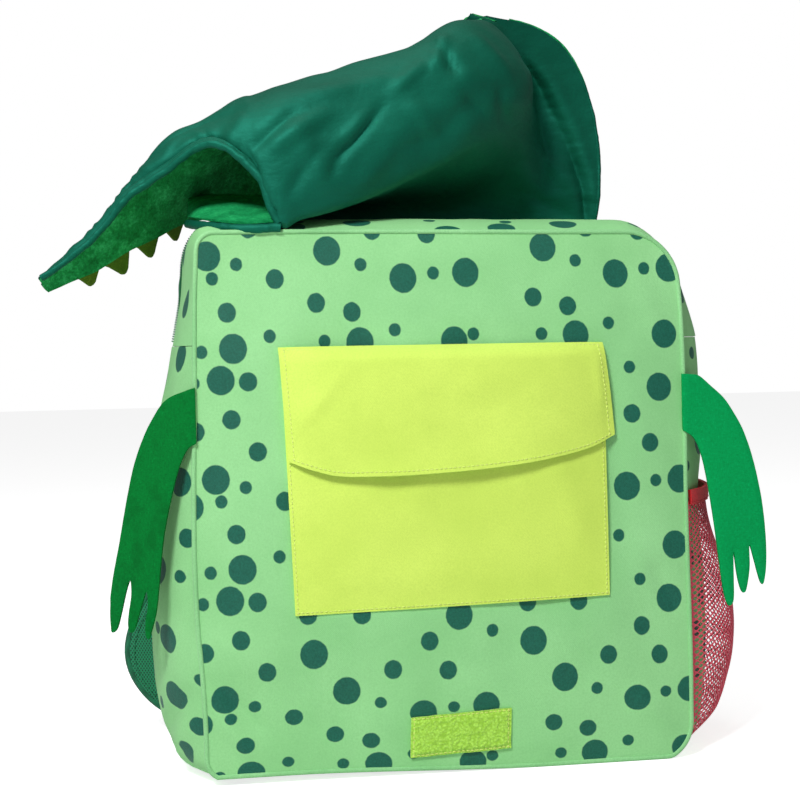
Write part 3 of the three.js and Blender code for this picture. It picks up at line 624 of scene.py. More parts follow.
def loop_pile():
    """The looped half of a hook-and-loop closure. Its colour is darker low in the pile, as painted shade, and
    lighter on the loops' tops, as painted light.
    """
    nodes = Nodes("lime_loop_pile")
    here = nodes.object_space()
    cells = nodes.add("ShaderNodeTexVoronoi", None, Vector=here, Scale=620.0)
    fuzz = nodes.noise(here, 1100.0, 3.0, 0.7)
    height = nodes.math("MULTIPLY_ADD", fuzz, 0.7, nodes.math("MULTIPLY", cells.outputs["Distance"], -0.6))
    # Painted shade low in the pile and painted light on the loops' tops.
    first = nodes.mix(nodes.ramp(height, -0.1, 0.3), srgb(160, 214, 60), srgb(196, 250, 100))
    nodes.set(Base_Color=nodes.mix(nodes.ramp(height, 0.3, 0.5), first, srgb(220, 255, 140)))
    nodes.set(Roughness=0.95, Sheen_Weight=0.4)
    nodes.set(Normal=nodes.bump(height, 0.0009, 0.9))
    return nodes.material


def air_mesh():
    """Spacer mesh on the underside of the straps: rows of small holes, coloured dark as painted shade."""
    nodes = Nodes("teal_air_mesh")
    x, y, z = nodes.millimetres()
    pitch = 2.9
    turn = 2 * math.pi / pitch
    side = nodes.math("ADD", x, nodes.math("MULTIPLY", y, 0.35))
    rise = nodes.math("MULTIPLY", z, turn * 0.5)
    lean = nodes.math("MULTIPLY", side, turn * 0.8)
    first = nodes.math("SINE", nodes.math("ADD", rise, lean))
    second = nodes.math("SINE", nodes.math("SUBTRACT", rise, lean))
    holes = nodes.math("MULTIPLY", first, second)
    mask = nodes.ramp(nodes.math("ABSOLUTE", holes), 0.42, 0.62)
    # The holes are painted dark: painted shade inside them.
    nodes.set(Base_Color=nodes.mix(mask, srgb(18, 132, 88), srgb(2, 58, 40)))
    nodes.set(Roughness=0.85, Sheen_Weight=0.2)
    nodes.set(Normal=nodes.bump(mask, 0.0007, -0.9))
    return nodes.material


def webbing(name, axis, low, high):
    """Woven strap: ribs that run its length, each about a millimetre and a half wide. The grooves between the
    ribs are darker, as painted shade, and the ribs' tops lighter, as painted light.
    """
    nodes = Nodes(name)
    place = nodes.millimetres()
    rib = nodes.wave(place[axis], 2 * math.pi / 1.6)
    twill = nodes.wave(nodes.math("ADD", place[0], place[2]), 5.2)
    fine = nodes.noise(nodes.object_space(), 1200.0, 2.0)
    height = nodes.math("MULTIPLY_ADD", rib, 0.6, nodes.math("MULTIPLY_ADD", twill, 0.25, fine))
    # Painted shade in the grooves and painted light on the ribs' tops.
    nodes.set(Base_Color=nodes.mix(nodes.ramp(height, -0.2, 1.2), low, high))
    nodes.set(Roughness=0.72, Sheen_Weight=0.1, Normal=nodes.bump(height, 0.0003, 0.7))
    return nodes.material


def thread(name, colour):
    nodes = Nodes(name)
    twist = nodes.noise(nodes.object_space(), 2400.0, 2.0)
    nodes.set(Base_Color=nodes.mix(nodes.ramp(twist, 0.35, 0.65, 0.0, 0.4), colour, shade(colour, 0.6)))
    nodes.set(Roughness=0.7, Normal=nodes.bump(twist, 0.0002, 0.5))
    return nodes.material


def metal():
    nodes = Nodes("nickel")
    scratch = nodes.noise(nodes.object_space(), 700.0, 3.0)
    nodes.set(Base_Color=nodes.mix(nodes.ramp(scratch, 0.4, 0.7), srgb(214, 216, 218), srgb(186, 189, 192)))
    nodes.set(Metallic=1.0, Roughness=nodes.ramp(scratch, 0.3, 0.7, 0.2, 0.34))
    nodes.set(Normal=nodes.bump(scratch, 0.00005, 0.3))
    return nodes.material


def moulded(name, colour):
    nodes = Nodes(name)
    grain = nodes.noise(nodes.object_space(), 1500.0, 2.0)
    nodes.set(Base_Color=nodes.mix(nodes.ramp(grain, 0.4, 0.7, 0.0, 0.25), colour, shade(colour, 0.7)))
    nodes.set(Roughness=nodes.ramp(grain, 0.3, 0.7, 0.38, 0.52), Normal=nodes.bump(grain, 0.00008, 0.4))
    return nodes.material


def net_yarn():
    nodes = Nodes("red_net_yarn_painted_lit")
    twist = nodes.noise(nodes.scaled(nodes.object_space(), (1.0, 1.0, 0.5)), 2000.0, 2.0)
    # The yarn's own red, made lighter to stand for light shining through the thin yarn: painted light.
    nodes.set(Base_Color=nodes.mix(nodes.ramp(twist, 0.35, 0.7), srgb(252, 92, 118), srgb(228, 40, 70)))
    nodes.set(Roughness=0.6, Sheen_Weight=0.2, Normal=nodes.bump(twist, 0.0002, 0.6))
    return nodes.material


PRINTED = printed_cloth()
LIME = plain_cloth("lime_cloth", srgb(210, 240, 98), srgb(222, 250, 108), srgb(188, 224, 74), bump=0.00025)
LOOP_PILE = loop_pile()
# The two arms are one felt: the left arm's copy is darker, as painted shade, and the right arm's copy is
# lighter, as painted light.
FELT_LEFT_PAINTED_SHADE = felt("green_felt_left_painted_shade", srgb(0, 104, 40), srgb(0, 126, 50), srgb(14, 156, 74), srgb(0, 90, 32))
FELT_RIGHT_PAINTED_LIT = felt("green_felt_right_painted_lit", srgb(0, 146, 74), srgb(0, 168, 90), srgb(22, 196, 116))
TOOTH_FELT = felt("olive_felt", srgb(64, 92, 26), srgb(94, 124, 34), srgb(150, 176, 60))
LINING = nylon_lining()
PLUSH = plush_cloth("green_plush", srgb(10, 96, 40), srgb(30, 150, 76), srgb(66, 200, 120))
# A lighter copy of the same plush, for the mouth's ledge and the brim's rim where the plush is seen lit:
# painted light.
PLUSH_PAINTED_LIT = plush_cloth("green_plush_painted_lit", srgb(6, 116, 62), srgb(18, 150, 84), srgb(48, 190, 112))
TEAL = plain_cloth("teal_cloth", srgb(4, 112, 74), srgb(12, 138, 92), srgb(2, 84, 54))
AIR_MESH = air_mesh()
BACK_CLOTH_GREEN = plain_cloth(
    "teal_back_cloth", srgb(6, 116, 78), srgb(12, 132, 90), srgb(2, 86, 56), bump=0.0003)
TEAL_BINDING = webbing("teal_binding", 1, srgb(2, 84, 56), srgb(8, 116, 78))
WEBBING_SIDE = webbing("teal_webbing_across", 2, srgb(2, 84, 56), srgb(12, 132, 88))
WEBBING_UP = webbing("teal_webbing_upright", 0, srgb(2, 84, 56), srgb(12, 132, 88))
NET_PAINTED_LIT = net_yarn()
# The band's own red, made lighter to make up for the shade it sits in: partly painted light.
BINDING_PAINTED_LIT = plain_cloth("red_binding", srgb(236, 14, 34), srgb(220, 28, 48), srgb(160, 6, 20), pitch=0.8)
METAL = metal()
ZIP_PLASTIC = moulded("green_plastic", srgb(34, 120, 74))
ZIP_TAPE = plain_cloth("green_zip_tape", srgb(46, 140, 90), srgb(54, 152, 98), srgb(30, 110, 66), pitch=0.7)
LIME_THREAD = thread("lime_thread", srgb(226, 246, 130))
GREEN_THREAD = thread("green_thread", srgb(120, 200, 124))
TEAL_THREAD = thread("teal_thread", srgb(10, 120, 78))
RED_THREAD = thread("red_thread", srgb(190, 20, 40))
PIPING = plain_cloth("green_seam_cloth", srgb(140, 208, 140), srgb(158, 224, 156), srgb(110, 186, 112))


def finish(piece, material, body="bag", nodes=()):
    piece.data.materials.clear()
    piece.data.materials.append(material)
    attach(piece, body)
    if nodes:
        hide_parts(*nodes)
    return piece


def stitched(name, runs, up, material, slot, **options):
    """One piece of thread, with a row of stitches along each run."""
    parts = [part for run in runs for part in stitch_parts(run, up, **options)]
    return finish(merged(name, parts), material)


# The bag's main form: where the front and back seams run


def front_seam_y(z):
    return -BOTTOM_DEPTH / 2 + FRONT_LEAN * np.asarray(z, float) / BAG_HEIGHT


def back_seam_y(z):
    return BOTTOM_DEPTH / 2 - BACK_LEAN * np.asarray(z, float) / BAG_HEIGHT


# How far each side seam of the front stands from the middle, by height
LEFT_SEAM = [
    (0, 145), (30, 145), (60, 146), (90, 148), (130, 149), (165, 148.5), (225, 146.5), (282, 145), (318, 143),
]
RIGHT_SEAM = [(0, 145), (60, 146.5), (150, 147), (230, 148.5), (270, 148), (318, 145)]
CORNERS = {"top_left": 9, "top_right": 30, "bottom_left": 13, "bottom_right": 22}
BACK_CORNER = 26


def corner_inset(z, low_radius, high_radius):
    """How far a rounded corner pulls the side in at a height."""
    z = np.asarray(z, float)
    low = np.clip(low_radius - z, 0, low_radius)
    high = np.clip(z - (BAG_HEIGHT - high_radius), 0, high_radius)
    inset = low_radius - np.sqrt(np.maximum(low_radius**2 - low**2, 0))
    return inset + high_radius - np.sqrt(np.maximum(high_radius**2 - high**2, 0))


def front_side(z, side):
    if side < 0:
        return -(table(z, LEFT_SEAM) - corner_inset(z, CORNERS["bottom_left"], CORNERS["top_left"]))
    return table(z, RIGHT_SEAM) - corner_inset(z, CORNERS["bottom_right"], CORNERS["top_right"])


def back_side(z, side):
    return side * (BACK_WIDTH / 2 - corner_inset(z, BACK_CORNER, BACK_CORNER))


def base_lift(x, z):
    """The base's left front edge stands a little off the floor."""
    return 4.2 * smooth(-np.asarray(x, float), -60, 100) * np.clip(1 - np.asarray(z, float) / 70, 0, 1) ** 2


def top_lift(x, z):
    return lerp(0.8, 2.6, smooth(-np.asarray(x, float), -120, 100)) * smooth(z, 240, BAG_HEIGHT)


BASE = CLOTH / 2 + 0.2


def rounded_heights(low_radius, high_radius, steps):
    """Heights close together in the corners and even between them."""
    angles = np.linspace(0, math.pi / 2, 14)
    low = BASE + low_radius * (1 - np.cos(angles)) * (1 - BASE / low_radius / 4)
    high = BAG_HEIGHT - high_radius * (1 - np.cos(angles[::-1]))
    return np.concatenate([low, np.linspace(low[-1], high[0], steps + 1)[1:-1], high])


# The photograph's folds on the front: start, end, width and depth
FRONT_FOLDS = [
    ((-143, 66), (-112, 26), 5, -3.4), ((-140, 40), (-118, 12), 4, 2.8), ((-146, 96), (-120, 62), 6, 2.0),
    ((120, 300), (139, 250), 8, 1.6), ((98, 306), (132, 284), 7, -1.2), ((112, 214), (142, 170), 9, 1.2),
    ((-128, 312), (-138, 262), 7, -1.2), ((104, 96), (140, 60), 9, -1.2), ((112, 40), (138, 18), 6, 2.4),
    ((124, 120), (142, 84), 6, -2.0),
    ((-60, 300), (40, 306), 9, 0.8), ((-100, 96), (-60, 72), 10, -0.9), ((96, 250), (110, 110), 8, -0.9),
]


def front_y(x, z, folds=True):
    x = np.asarray(x, float)
    z = np.asarray(z, float)
    side = np.minimum(1, np.abs(2 * x / BAG_WIDTH))
    level = np.minimum(1, np.abs(2 * z / BAG_HEIGHT - 1))
    crown = (1 - side**2.4) * (1 - level**2.4)
    y = front_seam_y(z) - FRONT_CROWN * crown
    if folds:
        calm = (1 - side**6) * (1 - level**6)
        y = y + 2.2 * calm * field(xyz(x, 0, z), 52, 3) + 0.8 * calm * field(xyz(x, 0, z), 21, 4)
        for fold in FRONT_FOLDS:
            y = y - calm**0.5 * crease(x, z, *fold)
    return y


def print_uv(across, up, shift=(0.0, 0.0)):
    """Cloth lengths turned into counts of the print's repeat."""
    turned = across * math.cos(PRINT_TILT) + up * math.sin(PRINT_TILT)
    risen = up * math.cos(PRINT_TILT) - across * math.sin(PRINT_TILT)
    return np.stack([turned / PRINT_WIDTH + shift[0], risen / PRINT_HEIGHT + shift[1]], -1)


def front_panel():
    heights = rounded_heights(13, 14, 130)
    shares = np.linspace(0, 1, 141)
    shares = shares - 0.04 * np.sin(2 * math.pi * shares) / (2 * math.pi)
    left = front_side(heights, -1)
    right = front_side(heights, 1)
    x = left[:, None] + (right - left)[:, None] * shares[None, :]
    z = np.broadcast_to(heights[:, None], x.shape)
    y = front_y(x, z)
    risen = z + base_lift(x, z) + top_lift(x, z)
    grid = np.stack([x, y, risen], -1)
    gathered = z - 7 * np.clip(1 - z / 45, 0, 1)
    piece = cloth("bag_front", grid, CLOTH, print_uv(x, gathered))
    finish(piece, PRINTED, nodes=["front_panel"])


LOOP_STEPS = {"side": 60, "corner": 14, "end": 70}


def seam_loop(side_at, top_radii, low_radii, part):
    """Stations of a seam: x, z and the outward direction, for the upper or the lower gusset."""
    stations = []

    def side_run(side, start, stop, steps):
        for z in np.linspace(start, stop, steps + 1):
            stations.append((side_at(z, side), z, side, 0.0))

    def corner_run(side, high, radius, first, last):
        for angle in np.linspace(first, last, LOOP_STEPS["corner"])[1:-1]:
            out_z = math.sin(angle)
            z = BAG_HEIGHT - radius + radius * out_z if high else radius + radius * out_z
            stations.append((side_at(max(z, BASE), side), max(z, BASE), math.cos(angle), out_z))

    def flat_run(z, first, last, out_z):
        for x in np.linspace(first, last, LOOP_STEPS["end"] + 1):
            stations.append((x, z, 0.0, out_z))

    half_turn = math.pi / 2
    if part == "lower":
        side_run(-1, SPLIT_HEIGHT - 0.3, low_radii[0], LOOP_STEPS["side"])
        corner_run(-1, False, low_radii[0], math.pi, 3 * half_turn)
        left = side_at(BASE, -1)
        right = side_at(BASE, 1)
        flat_run(BASE, left, right, -1.0)
        corner_run(1, False, low_radii[1], -half_turn, 0)
        side_run(1, low_radii[1], SPLIT_HEIGHT - 0.3, LOOP_STEPS["side"])
    else:
        side_run(-1, SPLIT_HEIGHT + 0.1, BAG_HEIGHT - top_radii[0], 20)
        corner_run(-1, True, top_radii[0], math.pi, half_turn)
        left = side_at(BAG_HEIGHT, -1)
        right = side_at(BAG_HEIGHT, 1)
        flat_run(BAG_HEIGHT, left, right, 1.0)
        corner_run(1, True, top_radii[1], half_turn, 0)
        side_run(1, BAG_HEIGHT - top_radii[1], SPLIT_HEIGHT + 0.1, 20)
    return np.array(stations, float)


def front_loop(part):
    return seam_loop(front_side, (CORNERS["top_left"], CORNERS["top_right"]),
                     (CORNERS["bottom_left"], CORNERS["bottom_right"]), part)


def back_loop(part):
    return seam_loop(back_side, (BACK_CORNER, BACK_CORNER), (BACK_CORNER, BACK_CORNER), part)


# How far each side wall stands out from its seams, by height, and the top
LEFT_BULGE = [
    (0, 11), (15, 19), (34, 24), (65, 26), (89, 25), (150, 22), (217, 17), (241, 12), (265, 7.5), (283, 5),
    (318, 3),
]
RIGHT_BULGE = [
    (0, 12), (15, 18), (40, 22), (150, 22), (230, 23), (256, 22), (269, 18), (285, 12), (300, 6), (318, 3),
]
TOP_BULGE = 10.5


def gusset_bulge(stations):
    x, z, out_x, out_z = stations.T
    side = np.where(out_x < 0, table(z, LEFT_BULGE), table(z, RIGHT_BULGE)) * np.abs(out_x) ** 1.5
    top = TOP_BULGE * np.maximum(out_z, 0) ** 2
    return side + top


def gusset_grid(part, first, last, columns, wrinkle=1.0):
    front = front_loop(part)
    back = back_loop(part)
    share = np.linspace(first, last, columns + 1)[None, :]
    x = lerp(front[:, 0][:, None], back[:, 0][:, None], share)
    z = lerp(front[:, 1][:, None], back[:, 1][:, None], share)
    y_front = front_seam_y(front[:, 1]) + CLOTH / 2 + 0.3
    y_back = back_seam_y(back[:, 1]) - BACK_CLOTH / 2 - 0.3
    y = lerp(y_front[:, None], y_back[:, None], share)
    profile = 1 - np.abs(2 * share - 1) ** 2.5
    out_x = front[:, 2][:, None]
    out_z = front[:, 3][:, None]
    at_zip = smooth(share, 0.3, 0.56) * smooth(z, 195, 268) * (out_x > 0.02)
    bulge = gusset_bulge(front)[:, None] * profile * (1 - 0.62 * at_zip * np.clip(out_x, 0, 1))
    lift = base_lift(x, z) * np.clip(1 - share * 1.6, 0, 1) + top_lift(x, z)
    points = xyz(x, y, z)
    calm = profile * np.where(out_z < -0.5, 0.15, 1)
    bulge = bulge + wrinkle * calm * (1.3 * field(points, 40, 11) + 0.6 * field(points, 17, 12))
    for fold in SIDE_FOLDS:
        bulge = bulge + (out_x < -0.3) * profile**0.5 * crease(y, z, *fold)
    grid = np.stack([x + out_x * bulge, y, np.maximum(z + out_z * np.maximum(bulge, -0.5) + lift, BASE)], -1)
    length = np.concatenate([[0], np.cumsum(np.linalg.norm(np.diff(front[:, [0, 1]], axis=0), axis=1))])
    return grid, np.broadcast_to(length[:, None], x.shape), y


# Folds on the left wall: start and end in depth and height
SIDE_FOLDS = [
    ((-58, 262), (-20, 226), 5, 3.0), ((-50, 250), (-5, 214), 6, -2.2), ((-62, 60), (-20, 24), 5, -4.2),
    ((-58, 170), (-50, 70), 4, -3.0), ((-40, 80), (-8, 48), 6, -2.4), ((-60, 38), (-30, 12), 5, 3.4),
    ((-64, 86), (-44, 54), 4, 2.4), ((-55, 120), (20, 90), 10, 1.6), ((-50, 180), (10, 150), 10, -1.4),
    ((-45, 300), (0, 280), 7, -1.6),
]


def gussets():
    grid, length, y = gusset_grid("lower", 0, 1, 72)
    lower = cloth("bag_gusset", grid, CLOTH, print_uv(y + 22, -length, (0.2, 0.35)))
    finish(lower, PRINTED, nodes=["lower_gusset"])
    back_edge = ZIP_FROM_FRONT + ZIP_TAPE_SHARE
    for name, node, first, last, columns, start, shift in (
        ("bag_top_front", "top_gusset_front", 0, ZIP_FROM_FRONT, 44, 30, (0.1, 0.1)),
        ("bag_top_back", "top_gusset_back", back_edge, 1, 22, 0, (0.6, 0.4)),
    ):
        grid, length, y = gusset_grid("upper", first, last, columns, 0.5)
        strip = cloth(name, grid, CLOTH, print_uv(y + start, length, shift))
        finish(strip, PRINTED, nodes=[node])
    grid, _, _ = gusset_grid("upper", ZIP_FROM_FRONT + 0.004, back_edge - 0.004, 8, 0.5)
    finish(cloth("zip_band", grid, 1.0, offset=-0.3), ZIP_TAPE, nodes=["zip_tape"])


front_panel()
gussets()


# Seams


def loop_path(upper, lower, seam_y, out, along_y, lift=None):
    """The whole way round a panel's seam, moved outwards and along Y."""
    both = np.concatenate([lower, upper[::-1]])
    x = both[:, 0] + both[:, 2] * out
    z = np.maximum(both[:, 1] + both[:, 3] * out, BASE + 0.6)
    y = seam_y(both[:, 1]) + along_y
    if lift is not None:
        z = z + lift(x, both[:, 1])
    return np.stack([x, y, z], -1)


def seams():
    front = loop_path(front_loop("upper"), front_loop("lower"), front_seam_y, 0.9, -0.3,
                      lambda x, z: base_lift(x, z) + top_lift(x, z))
    ridge = tube("front_seam_ridge", front, 1.5, sides=10, step=2.5, closed=True)
    finish(ridge, PIPING)
    back = loop_path(back_loop("upper"), back_loop("lower"), back_seam_y, 1.2, -1.0)
    ridge = tube("back_seam_ridge", back, 1.9, sides=10, step=2.5, closed=True)
    finish(ridge, TEAL)


seams()

# Front pocket, flap and closure patch

POCKET_WIDTH = 193
POCKET_HEIGHT = 146
POCKET_BASE = 98
POCKET_OFF_CENTRE = 0.7
POCKET_TOP = POCKET_BASE + POCKET_HEIGHT
POCKET_LEFT = POCKET_OFF_CENTRE - POCKET_WIDTH / 2
FLAP_ABOVE = 9
STEP_OUT = CLOTH + 0.5


def pocket_out(across, up):
    """How far the pocket stands off the panel, by shares of its width and height."""
    side = np.abs(2 * across - 1)
    belly = 6.5 * (1 - side**3) * np.sin(math.pi * np.clip(up * 0.5 + 0.02, 0, 1)) * (1 - up**6)
    mouth = 6.5 * (1 - side**4) * np.clip(up, 0, 1) ** 5
    return STEP_OUT + np.maximum(belly, 0) + mouth


def pocket():
    up, across = np.meshgrid(np.linspace(0, 1, 90), np.linspace(0, 1, 110), indexing="ij")
    skew = lerp(3.0, -1.2, up)
    x = POCKET_LEFT + skew * (1 - across) - 1.0 * across * (1 - up) + POCKET_WIDTH * across
    z = POCKET_BASE + POCKET_HEIGHT * up + lerp(-0.8, 3.2, across) * (1 - up)
    hold = np.clip(8 * np.minimum.reduce([across, 1 - across, up + 0.02]), 0, 1)
    flat = xyz(x, 0, z)
    out = pocket_out(across, up) + hold * (0.7 * field(flat, 38, 21) + 0.35 * field(flat, 15, 22))
    for fold in POCKET_FOLDS:
        out = out + hold * crease(x, z, *fold)
    grid = np.stack([x, front_y(x, z, False) - out, z], -1)
    piece = cloth("pocket", grid, CLOTH)
    finish(piece, LIME, nodes=["front_pocket"])
    inset = 2.2
    column = int(round(inset / POCKET_WIDTH * 109))
    row = int(round(inset / POCKET_HEIGHT * 89))
    lifted = grid - np.array([0, CLOTH / 2, 0])
    runs = [lifted[row:78, column], lifted[row:78, 109 - column], lifted[row, column:110 - column]]
    stitched("pocket_stitching", runs, (0, -1, 0), LIME_THREAD, "lime_cloth")


POCKET_FOLDS = [
    ((-70, 120), (40, 112), 12, 0.9), ((-20, 170), (80, 150), 14, -0.8), ((60, 190), (90, 120), 9, 0.8),
]
FLAP_FOLDS = [
    ((-60, 240), (-88, 206), 5, 0.9), ((-20, 222), (70, 214), 9, -0.8), ((92, 246), (96, 214), 4, 0.9),
]

# The flap's lower edge: height by share of its width
FLAP_EDGE = [
    (0, 187), (0.05, 183), (0.13, 178.5), (0.25, 177.5), (0.45, 178.4), (0.63, 180.8), (0.81, 185.5),
    (0.93, 191), (1, 197),
]


def flap():
    top = POCKET_TOP + FLAP_ABOVE
    across, up = np.meshgrid(np.linspace(0, 1, 120), np.linspace(0, 1, 60), indexing="ij")
    across, up = across.T, up.T
    low = table(across, FLAP_EDGE)
    left = POCKET_LEFT - lerp(-1.4, 2.8, up)
    right = POCKET_LEFT + POCKET_WIDTH + lerp(5.5, 0.2, up ** 1.2) - 0.2
    z = lerp(low, top - 0.6 * across, up)
    x = lerp(left, right, across)
    over = np.clip((x - POCKET_LEFT) / POCKET_WIDTH, 0, 1)
    pocket_up = np.clip((z - POCKET_BASE) / POCKET_HEIGHT, 0, 1)
    ramp = np.clip((top - z) / FLAP_ABOVE, 0, 1)
    out = lerp(STEP_OUT, pocket_out(over, pocket_up) + STEP_OUT + 0.6, np.sin(ramp * math.pi / 2) ** 0.8)
    curl = 3.4 * np.clip(1 - up / 0.35, 0, 1) ** 2 * (0.5 + 0.5 * np.sin(across * 5.2 - 0.6))
    side_curl = 1.6 * np.clip((np.abs(2 * across - 1) - 0.93) / 0.07, 0, 1) * (1 - up)
    hold = np.clip(6 * (1 - up), 0, 1)
    flat = xyz(x, 5, z)
    out = out + curl - side_curl + hold * (0.6 * field(flat, 30, 31) + 0.3 * field(flat, 12, 32))
    for fold in FLAP_FOLDS:
        out = out + hold * crease(x, z, *fold)
    grid = np.stack([x, front_y(x, z, False) - out, z], -1)
    finish(cloth("pocket_lid", grid, CLOTH), LIME, nodes=["pocket_flap"])
    lifted = grid - np.array([0, CLOTH / 2, 0])
    runs = [lifted[2, 2:118], lifted[2:58, 2], lifted[2:58, 117], lifted[58, 2:118]]
    stitched("lid_stitching", runs, (0, -1, 0), LIME_THREAD, "lime_cloth")


def patch():
    width, height = 60.5, 24
    centre_x, centre_z = 3.4, 23.9
    up, across = np.meshgrid(np.linspace(-0.5, 0.5, 44), np.linspace(-0.5, 0.5, 100), indexing="ij")
    x = centre_x + across * width + up * 0.6
    z = centre_z + up * height + across * 2.4
    x, z = x + 0.25 * field(xyz(x, 1, z), 5, 41), z + 0.25 * field(xyz(x, 2, z), 5, 42)
    edge = np.minimum(0.5 - np.abs(up), (0.5 - np.abs(across)) * width / height)
    pile = 0.9 * smooth(edge, 0.06, 0.13)
    fuzz = pile * (0.45 * field(xyz(x, 0, z), 1.3, 43) + 0.3 * field(xyz(x, 0, z), 2.8, 44))
    out = 1.2 + pile + fuzz
    grid = np.stack([x, front_y(x, z) - out - 0.4, z], -1)
    finish(cloth("closure_pile", grid, 1.2), LOOP_PILE, nodes=["closure_patch"])
    lifted = grid - np.array([0, 0.6, 0])
    runs = [lifted[2, 3:97], lifted[2:42, 96], lifted[41, 3:97][::-1], lifted[2:42, 3][::-1]]
    stitched("closure_stitching", runs, (0, -1, 0), LIME_THREAD, "lime_pile")


pocket()
flap()
patch()

# Felt arms: outlines as shares of the arm's reach and length, from the top of the root

ARM_LENGTH = 138
ARM_REACH = 52
ARM_THICKNESS = 3
ARM_TOP = 231
LEFT_ARM = [
    (0.0, 0.0), (0.1, 0.012), (0.32, 0.05), (0.48, 0.135), (0.6, 0.23), (0.7, 0.34), (0.79, 0.49),
    (0.875, 0.655), (0.955, 0.8), (1.0, 0.92), (1.003, 1.0), (0.985, 1.035), (0.95, 1.033), (0.915, 1.01),
    (0.87, 0.945), (0.815, 0.86), (0.765, 0.81), (0.755, 0.87), (0.79, 0.955), (0.8, 1.005), (0.775, 1.035),
    (0.73, 1.02), (0.68, 0.96), (0.63, 0.9), (0.585, 0.855), (0.575, 0.92), (0.605, 0.985), (0.605, 1.045),
    (0.575, 1.06), (0.54, 1.02), (0.49, 0.95), (0.46, 0.87), (0.41, 0.7), (0.37, 0.6), (0.3, 0.48),
    (0.2, 0.34), (0.1, 0.26), (0.0, 0.235),
]
RIGHT_ARM = [
    (0.0, 0.0), (0.12, 0.003), (0.22, 0.012), (0.37, 0.06), (0.52, 0.112), (0.64, 0.18), (0.75, 0.26),
    (0.845, 0.375), (0.915, 0.505), (0.955, 0.62), (0.975, 0.74), (0.97, 0.85), (0.94, 0.93), (0.905, 0.94),
    (0.86, 0.89), (0.8, 0.8), (0.765, 0.765), (0.765, 0.86), (0.735, 0.935), (0.7, 0.975), (0.655, 0.965),
    (0.61, 0.9), (0.57, 0.79), (0.565, 0.9), (0.56, 0.985), (0.54, 1.02), (0.49, 1.03), (0.45, 0.99),
    (0.42, 0.92), (0.38, 0.8), (0.34, 0.68), (0.3, 0.55), (0.26, 0.44), (0.2, 0.34),
    (0.12, 0.28), (0.0, 0.25),
]


def smooth_outline(points, per_span=6):
    """A smooth curve through points, with a straight closing side from the last to the first."""
    count = len(points)
    curve = []
    for index in range(count - 1):
        p0, p1, p2, p3 = (points[(index + step) % count] for step in (-1, 0, 1, 2))
        m1 = (p2 - p0) / 2 if index > 0 else (p2 - p1)
        m2 = (p3 - p1) / 2 if index < count - 2 else (p2 - p1)
        curve += [hermite(step / per_span, p1, p2, m1, m2) for step in range(per_span)]
    return np.array(curve + [points[-1]])


def inside(points, polygon):
    x, z = points[:, 0], points[:, 1]
    crossed = np.zeros(len(points), bool)
    ax, az = polygon[:, 0], polygon[:, 1]
    bx, bz = np.roll(ax, -1), np.roll(az, -1)
    for start_x, start_z, end_x, end_z in zip(ax, az, bx, bz):
        if start_z == end_z:
            continue
        spans = (start_z > z) != (end_z > z)
        crossed ^= spans & (x < (end_x - start_x) * (z - start_z) / (end_z - start_z) + start_x)
    return crossed


def flat_shape(polygon, spacing):
    """A flat outline filled with near-even triangles: points and faces, by a constrained fill."""
    low, high = polygon.min(0), polygon.max(0)
    xs = np.arange(low[0], high[0], spacing)
    zs = np.arange(low[1], high[1], spacing * 0.866)
    inner = []
    for row, z in enumerate(zs):
        for x in xs:
            inner.append((x + (spacing / 2 if row % 2 else 0), z))
    inner = np.array(inner)
    inner = inner[inside(inner, polygon)]
    gaps = np.min(np.linalg.norm(inner[:, None] - polygon[None], axis=2), axis=1)
    inner = inner[gaps > spacing * 0.55]
    everything = np.concatenate([polygon, inner])
    edges = [(i, (i + 1) % len(polygon)) for i in range(len(polygon))]
    found = delaunay_2d_cdt([Vector(p) for p in everything], edges, [], 1, 1e-5)
    return np.array([tuple(v) for v in found[0]]), [list(face) for face in found[2]]


def arm(name, node, shares, material, place):
    outline = smooth_outline(np.array(shares) * [ARM_REACH, ARM_LENGTH])
    outline, _ = resample(np.column_stack([outline, np.zeros(len(outline))]), 1.4, closed=True)
    flat, triangles = flat_shape(outline[:, :2], 2.2)
    middle = place(flat[:, 0], flat[:, 1])
    step = 0.5
    along = place(flat[:, 0] + step, flat[:, 1]) - middle
    down = place(flat[:, 0], flat[:, 1] + step) - middle
    normal = unit(np.cross(along, down))
    if normal[:, 1].mean() > 0:
        normal = -normal
    rim = np.min(np.linalg.norm(flat[:, None] - outline[None, :, :2], axis=2), axis=1)
    half = ARM_THICKNESS / 2 * np.sqrt(np.clip(0.35 + rim / 1.8, 0, 1))
    fuzz = 0.12 * field(xyz(flat[:, 0], 0, flat[:, 1]), 2.2, 51)
    front = middle + normal * (half + fuzz)[:, None]
    rear = middle - normal * (half - fuzz)[:, None]
    triangles = turned_towards(triangles, front, normal[triangles[0][0]])
    points, faces = two_sided(front, rear, triangles)
    piece = make_object(name, points, faces, sharp=60)
    finish(piece, material, nodes=[node])


def left_arm_place(out, down):
    x = -BAG_WIDTH / 2 - 1.2 - out
    z = ARM_TOP - down
    away = np.clip(out / ARM_REACH, 0, 1)
    y = front_seam_y(ARM_TOP) - 3.2 + 22 * away**1.2 - FRONT_LEAN / BAG_HEIGHT * down * 0.7
    y = y + 2.2 * np.sin(down / 24 + 0.6) * away + 1.2 * field(xyz(x, 0, z), 26, 52)
    return np.stack([x, y, z], -1)


def right_arm_place(out, down):
    x = BAG_WIDTH / 2 + 1.2 + out
    z = ARM_TOP + 1.5 - down
    away = np.clip(out / ARM_REACH, 0, 1)
    y = front_seam_y(ARM_TOP) - 3.0 + 3 * away - FRONT_LEAN / BAG_HEIGHT * down * 0.9
    y = y + 1.6 * np.sin(down / 30 + 2.0) * away + 1.0 * field(xyz(x, 0, z), 30, 53)
    return np.stack([x, y, z], -1)


